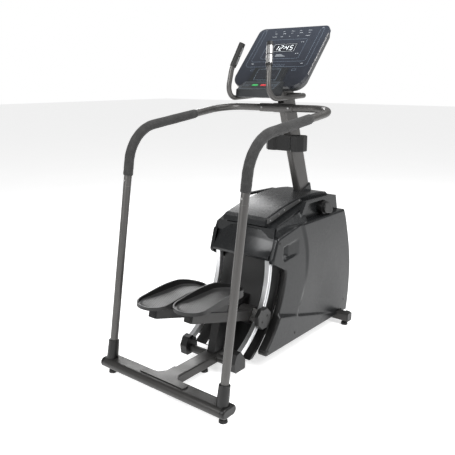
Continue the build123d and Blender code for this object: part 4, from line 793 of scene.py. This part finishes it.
def bend_points(corners, radius, count=14):
    """Points along straight runs joined by one rounded corner."""
    start, corner, end = [Vector(point) for point in corners]
    back, ahead = (start - corner).normalized(), (end - corner).normalized()
    half = back.angle(ahead) / 2
    reach = radius / math.tan(half)
    centre = corner + (back + ahead).normalized() * (radius / math.sin(half))
    first, last = corner + back * reach, corner + ahead * reach
    points = [start + (first - start) * (step / count) for step in range(count)]
    first_arm, last_arm = (first - centre).normalized(), (last - centre).normalized()
    for step in range(2 * count + 1):
        points.append(centre + first_arm.slerp(last_arm, step / (2 * count)) * radius)
    points += [last + (end - last) * (step / count) for step in range(1, count + 1)]
    return points


def foam_sleeve(side, sign):
    """Foam grip on the bend of the handrail, a little fuller between its rolled ends."""
    foot, corner = upright_at(foam_foot_z), upright_at(bend_corner_z)
    front = (foam_front_y, corner[1] + (foam_front_y - corner[0]) * rail_slope)
    corners = [(sign * rail_x, *point) for point in (foot, corner, front)]
    points = bend_points(corners, bend_radius)
    fine = []
    for first, second in zip(points, points[1:]):
        fine += [first, first.lerp(second, 0.5)]
    fine.append(points[-1])

    def radius_at(share):
        from_end = min(share, 1 - share)
        roll = 0.0032 * (1 - smoothstep(0.0, 0.012, from_end))
        unevenness = 0.0004 * math.sin(share * 61 + sign) * math.sin(share * 17)
        return foam_radius - roll + unevenness

    mesh = bmesh.new()
    swept(mesh, fine, radius_at, sides=36)
    sleeve = new_piece(f"{side}_foam_sleeve", mesh, slots["foam"])
    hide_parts(f"{side}_foam_grip")


def strap_band(side):
    """The lifting strap: a flat woven belt from the drum on the shaft to the step's carriage."""
    source = nodes[f"{side}_strap"].data.copy()
    band = new_piece(f"{side}_strap_band", source, slots["rubber"], body=None, smooth=False)
    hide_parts(f"{side}_strap")
    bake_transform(band)


for side, sign in both_sides:
    foam_sleeve(side, sign)
    strap_band(side)


# ---------------------------------------------------------------- steps

pedal_rim = 0.014                       # width of the pedal's rim round the mat
tread_depth = 0.0395 - 0.0085           # how far the tread lies below the rim's highest point
mat_corner = 0.074
stud_pitch = 0.0115
stud_rows, stud_columns = 31, 13

arm_x = 0.105
arm_reach = 0.465                       # from the hub back to the arm's rear end
arm_rise = 0.136


def mat_inset(x, y, half_x, half_y):
    """Distance of (x, y) inside the mat's rounded outline; below zero outside it."""
    over_x = max(abs(x) - (half_x - mat_corner), 0.0)
    over_y = max(abs(y) - (half_y - mat_corner), 0.0)
    if over_x and over_y:
        return mat_corner - math.hypot(over_x, over_y)
    return min(half_x - abs(x), half_y - abs(y))


def mat_outline(half_x, half_y, steps=96):
    """Points round the mat, from its middle: each ray is followed until it leaves the mat."""
    stride = 0.002
    outline = []
    for step in range(steps):
        turn = 2 * math.pi * step / steps
        ray = Vector((math.cos(turn), math.sin(turn), 0))
        reach = 0.0
        while mat_inset(ray.x * (reach + stride), ray.y * (reach + stride), half_x, half_y) > 0:
            reach += stride
        outline.append(ray * reach)
    return outline


def pedal_mat(side):
    """Rubber mat in the tread, with a raised border and rows of diamond grip studs."""
    low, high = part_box(f"{side}_pedal")
    half_x, half_y = (high.x - low.x) / 2 - pedal_rim, (high.y - low.y) / 2 - pedal_rim
    middle = Vector(((low.x + high.x) / 2, (low.y + high.y) / 2, high.z - tread_depth))
    outline = mat_outline(half_x, half_y)
    mesh = bmesh.new()
    rings = []
    for size, height in ((1, -0.0008), (1, 0.0010), (0.985, 0.0016), (0.93, 0.0016), (0.92, 0.0006)):
        level = middle + Vector((0, 0, height))
        rings.append([mesh.verts.new(level + point * size) for point in outline])
    for first, second in zip(rings, rings[1:]):
        join_rings(mesh, first, second)
    mesh.faces.new(rings[-1])
    for row in range(stud_rows):
        for column in range(stud_columns):
            x = (column - (stud_columns - 1) / 2) * stud_pitch + (row % 2) * stud_pitch / 2 - 0.003
            y = (row - (stud_rows - 1) / 2) * stud_pitch
            if mat_inset(x, y, half_x, half_y) >= 0.014:
                diamond = Matrix.Translation(middle + Vector((x, y, 0.0006)))
                diamond @= Matrix.Rotation(math.radians(45), 4, "Z")
                bmesh.ops.create_cone(mesh, cap_ends=True, segments=4, radius1=0.0036, radius2=0.0026,
                                      depth=0.0018, matrix=diamond)
    new_piece(f"{side}_pedal_mat", mesh, mat_rubber, body=f"{side}_pedal", smooth=False)


def arm_cap(side, sign):
    """Plastic plug in the open rear end of the pedal arm."""
    cover_low, cover_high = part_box(f"{side}_carriage_cover")
    hub = (cover_low + cover_high) / 2
    end = Vector((sign * arm_x, hub.y - arm_reach, hub.z + arm_rise))
    along = Vector((0, -arm_reach, arm_rise)).normalized()
    across = Vector((1, 0, 0))
    plane = face_frame(end, across, along.cross(across))
    cap = bmesh.new()
    box_between(cap, plane, (-0.0245, -0.0235, 0.0), (0.0245, 0.0235, 0.0035), 0.0025)
    box_between(cap, plane, (-0.016, -0.015, 0.0030), (0.016, 0.015, 0.0045), 0.001)
    box_between(cap, plane, (-0.0205, -0.0195, -0.02), (0.0205, 0.0195, 0.001))
    new_piece(f"{side}_arm_cap", cap, slots["black_plastic"], body=f"{side}_pedal",
              smooth=False)


def cover_screws(side, sign):
    """Two screws in the octagonal cover of each carriage."""
    low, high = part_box(f"{side}_carriage_cover")
    centre = (low + high) / 2
    outer_x = high.x if sign > 0 else low.x
    screws = bmesh.new()
    for offset in (-0.022, 0.022):
        place = (outer_x, centre.y + offset, centre.z + offset * 0.5)
        screw_head(screws, place, (sign, 0, 0), radius=0.0065)
    new_piece(f"{side}_cover_screws", screws, screw_black, body=f"{side}_carriage")


for side, sign in both_sides:
    pedal_mat(side)
    arm_cap(side, sign)
    cover_screws(side, sign)


# ---------------------------------------------------------------- floor, light and camera

camera_place = (1.760, -2.397, 1.433)
camera_down, camera_turn = 14.33, 38.59          # degrees below the horizon, and left of +Y
camera_lens = 46.03                              # millimetres, on a sensor 36 wide
light_aim = Vector((0, 0, 0.75))


def floor():
    """Plain pale floor."""
    bpy.ops.mesh.primitive_plane_add(size=60, location=(0, 0, 0))
    plane = bpy.context.object
    plane.name = "studio_floor"
    plane.data.materials.append(floor_finish("floor"))


def sky():
    """A faint white sky for light, and a plain white one behind the object."""
    world = bpy.data.worlds.new("studio")
    bpy.context.scene.world = world
    world.use_nodes = True
    tree = world.node_tree
    light = tree.nodes["Background"]
    backdrop = tree.nodes.new("ShaderNodeBackground")
    for shader, strength in ((light, 0.3), (backdrop, 1.0)):
        shader.inputs["Color"].default_value = (1, 1, 1, 1)
        shader.inputs["Strength"].default_value = strength
    path = tree.nodes.new("ShaderNodeLightPath")
    mixed = tree.nodes.new("ShaderNodeMixShader")
    tree.links.new(path.outputs["Is Camera Ray"], mixed.inputs[0])
    tree.links.new(light.outputs[0], mixed.inputs[1])
    tree.links.new(backdrop.outputs[0], mixed.inputs[2])
    tree.links.new(mixed.outputs[0], tree.nodes["World Output"].inputs["Surface"])


def lamp(name, place, size, power):
    """A square soft light aimed at the middle of the object."""
    light = bpy.data.lights.new(name, "AREA")
    light.size = size
    light.energy = power
    holder = bpy.data.objects.new(name, light)
    holder.location = place
    holder.rotation_euler = (light_aim - Vector(place)).to_track_quat("-Z", "Y").to_euler()
    bpy.context.scene.collection.objects.link(holder)


def camera():
    """The photograph's view: from behind the user's right, a little above the console."""
    data = bpy.data.cameras.new("camera")
    data.lens = camera_lens
    data.sensor_width = 36
    data.clip_end = 100
    view = bpy.data.objects.new("camera", data)
    view.location = camera_place
    view.rotation_euler = (math.radians(90 - camera_down), 0, math.radians(camera_turn))
    bpy.context.scene.collection.objects.link(view)
    bpy.context.scene.camera = view


bpy.context.scene.view_settings.view_transform = "Standard"
floor()
sky()
lamp("key", (-0.6, -3.6, 2.6), size=1.8, power=110)
lamp("top", (1.3, 0.5, 4.0), size=2.8, power=130)
lamp("side", (4.0, -0.4, 3.4), size=1.4, power=95)
lamp("rim", (-3.2, 2.6, 2.4), size=1.8, power=60)
camera()
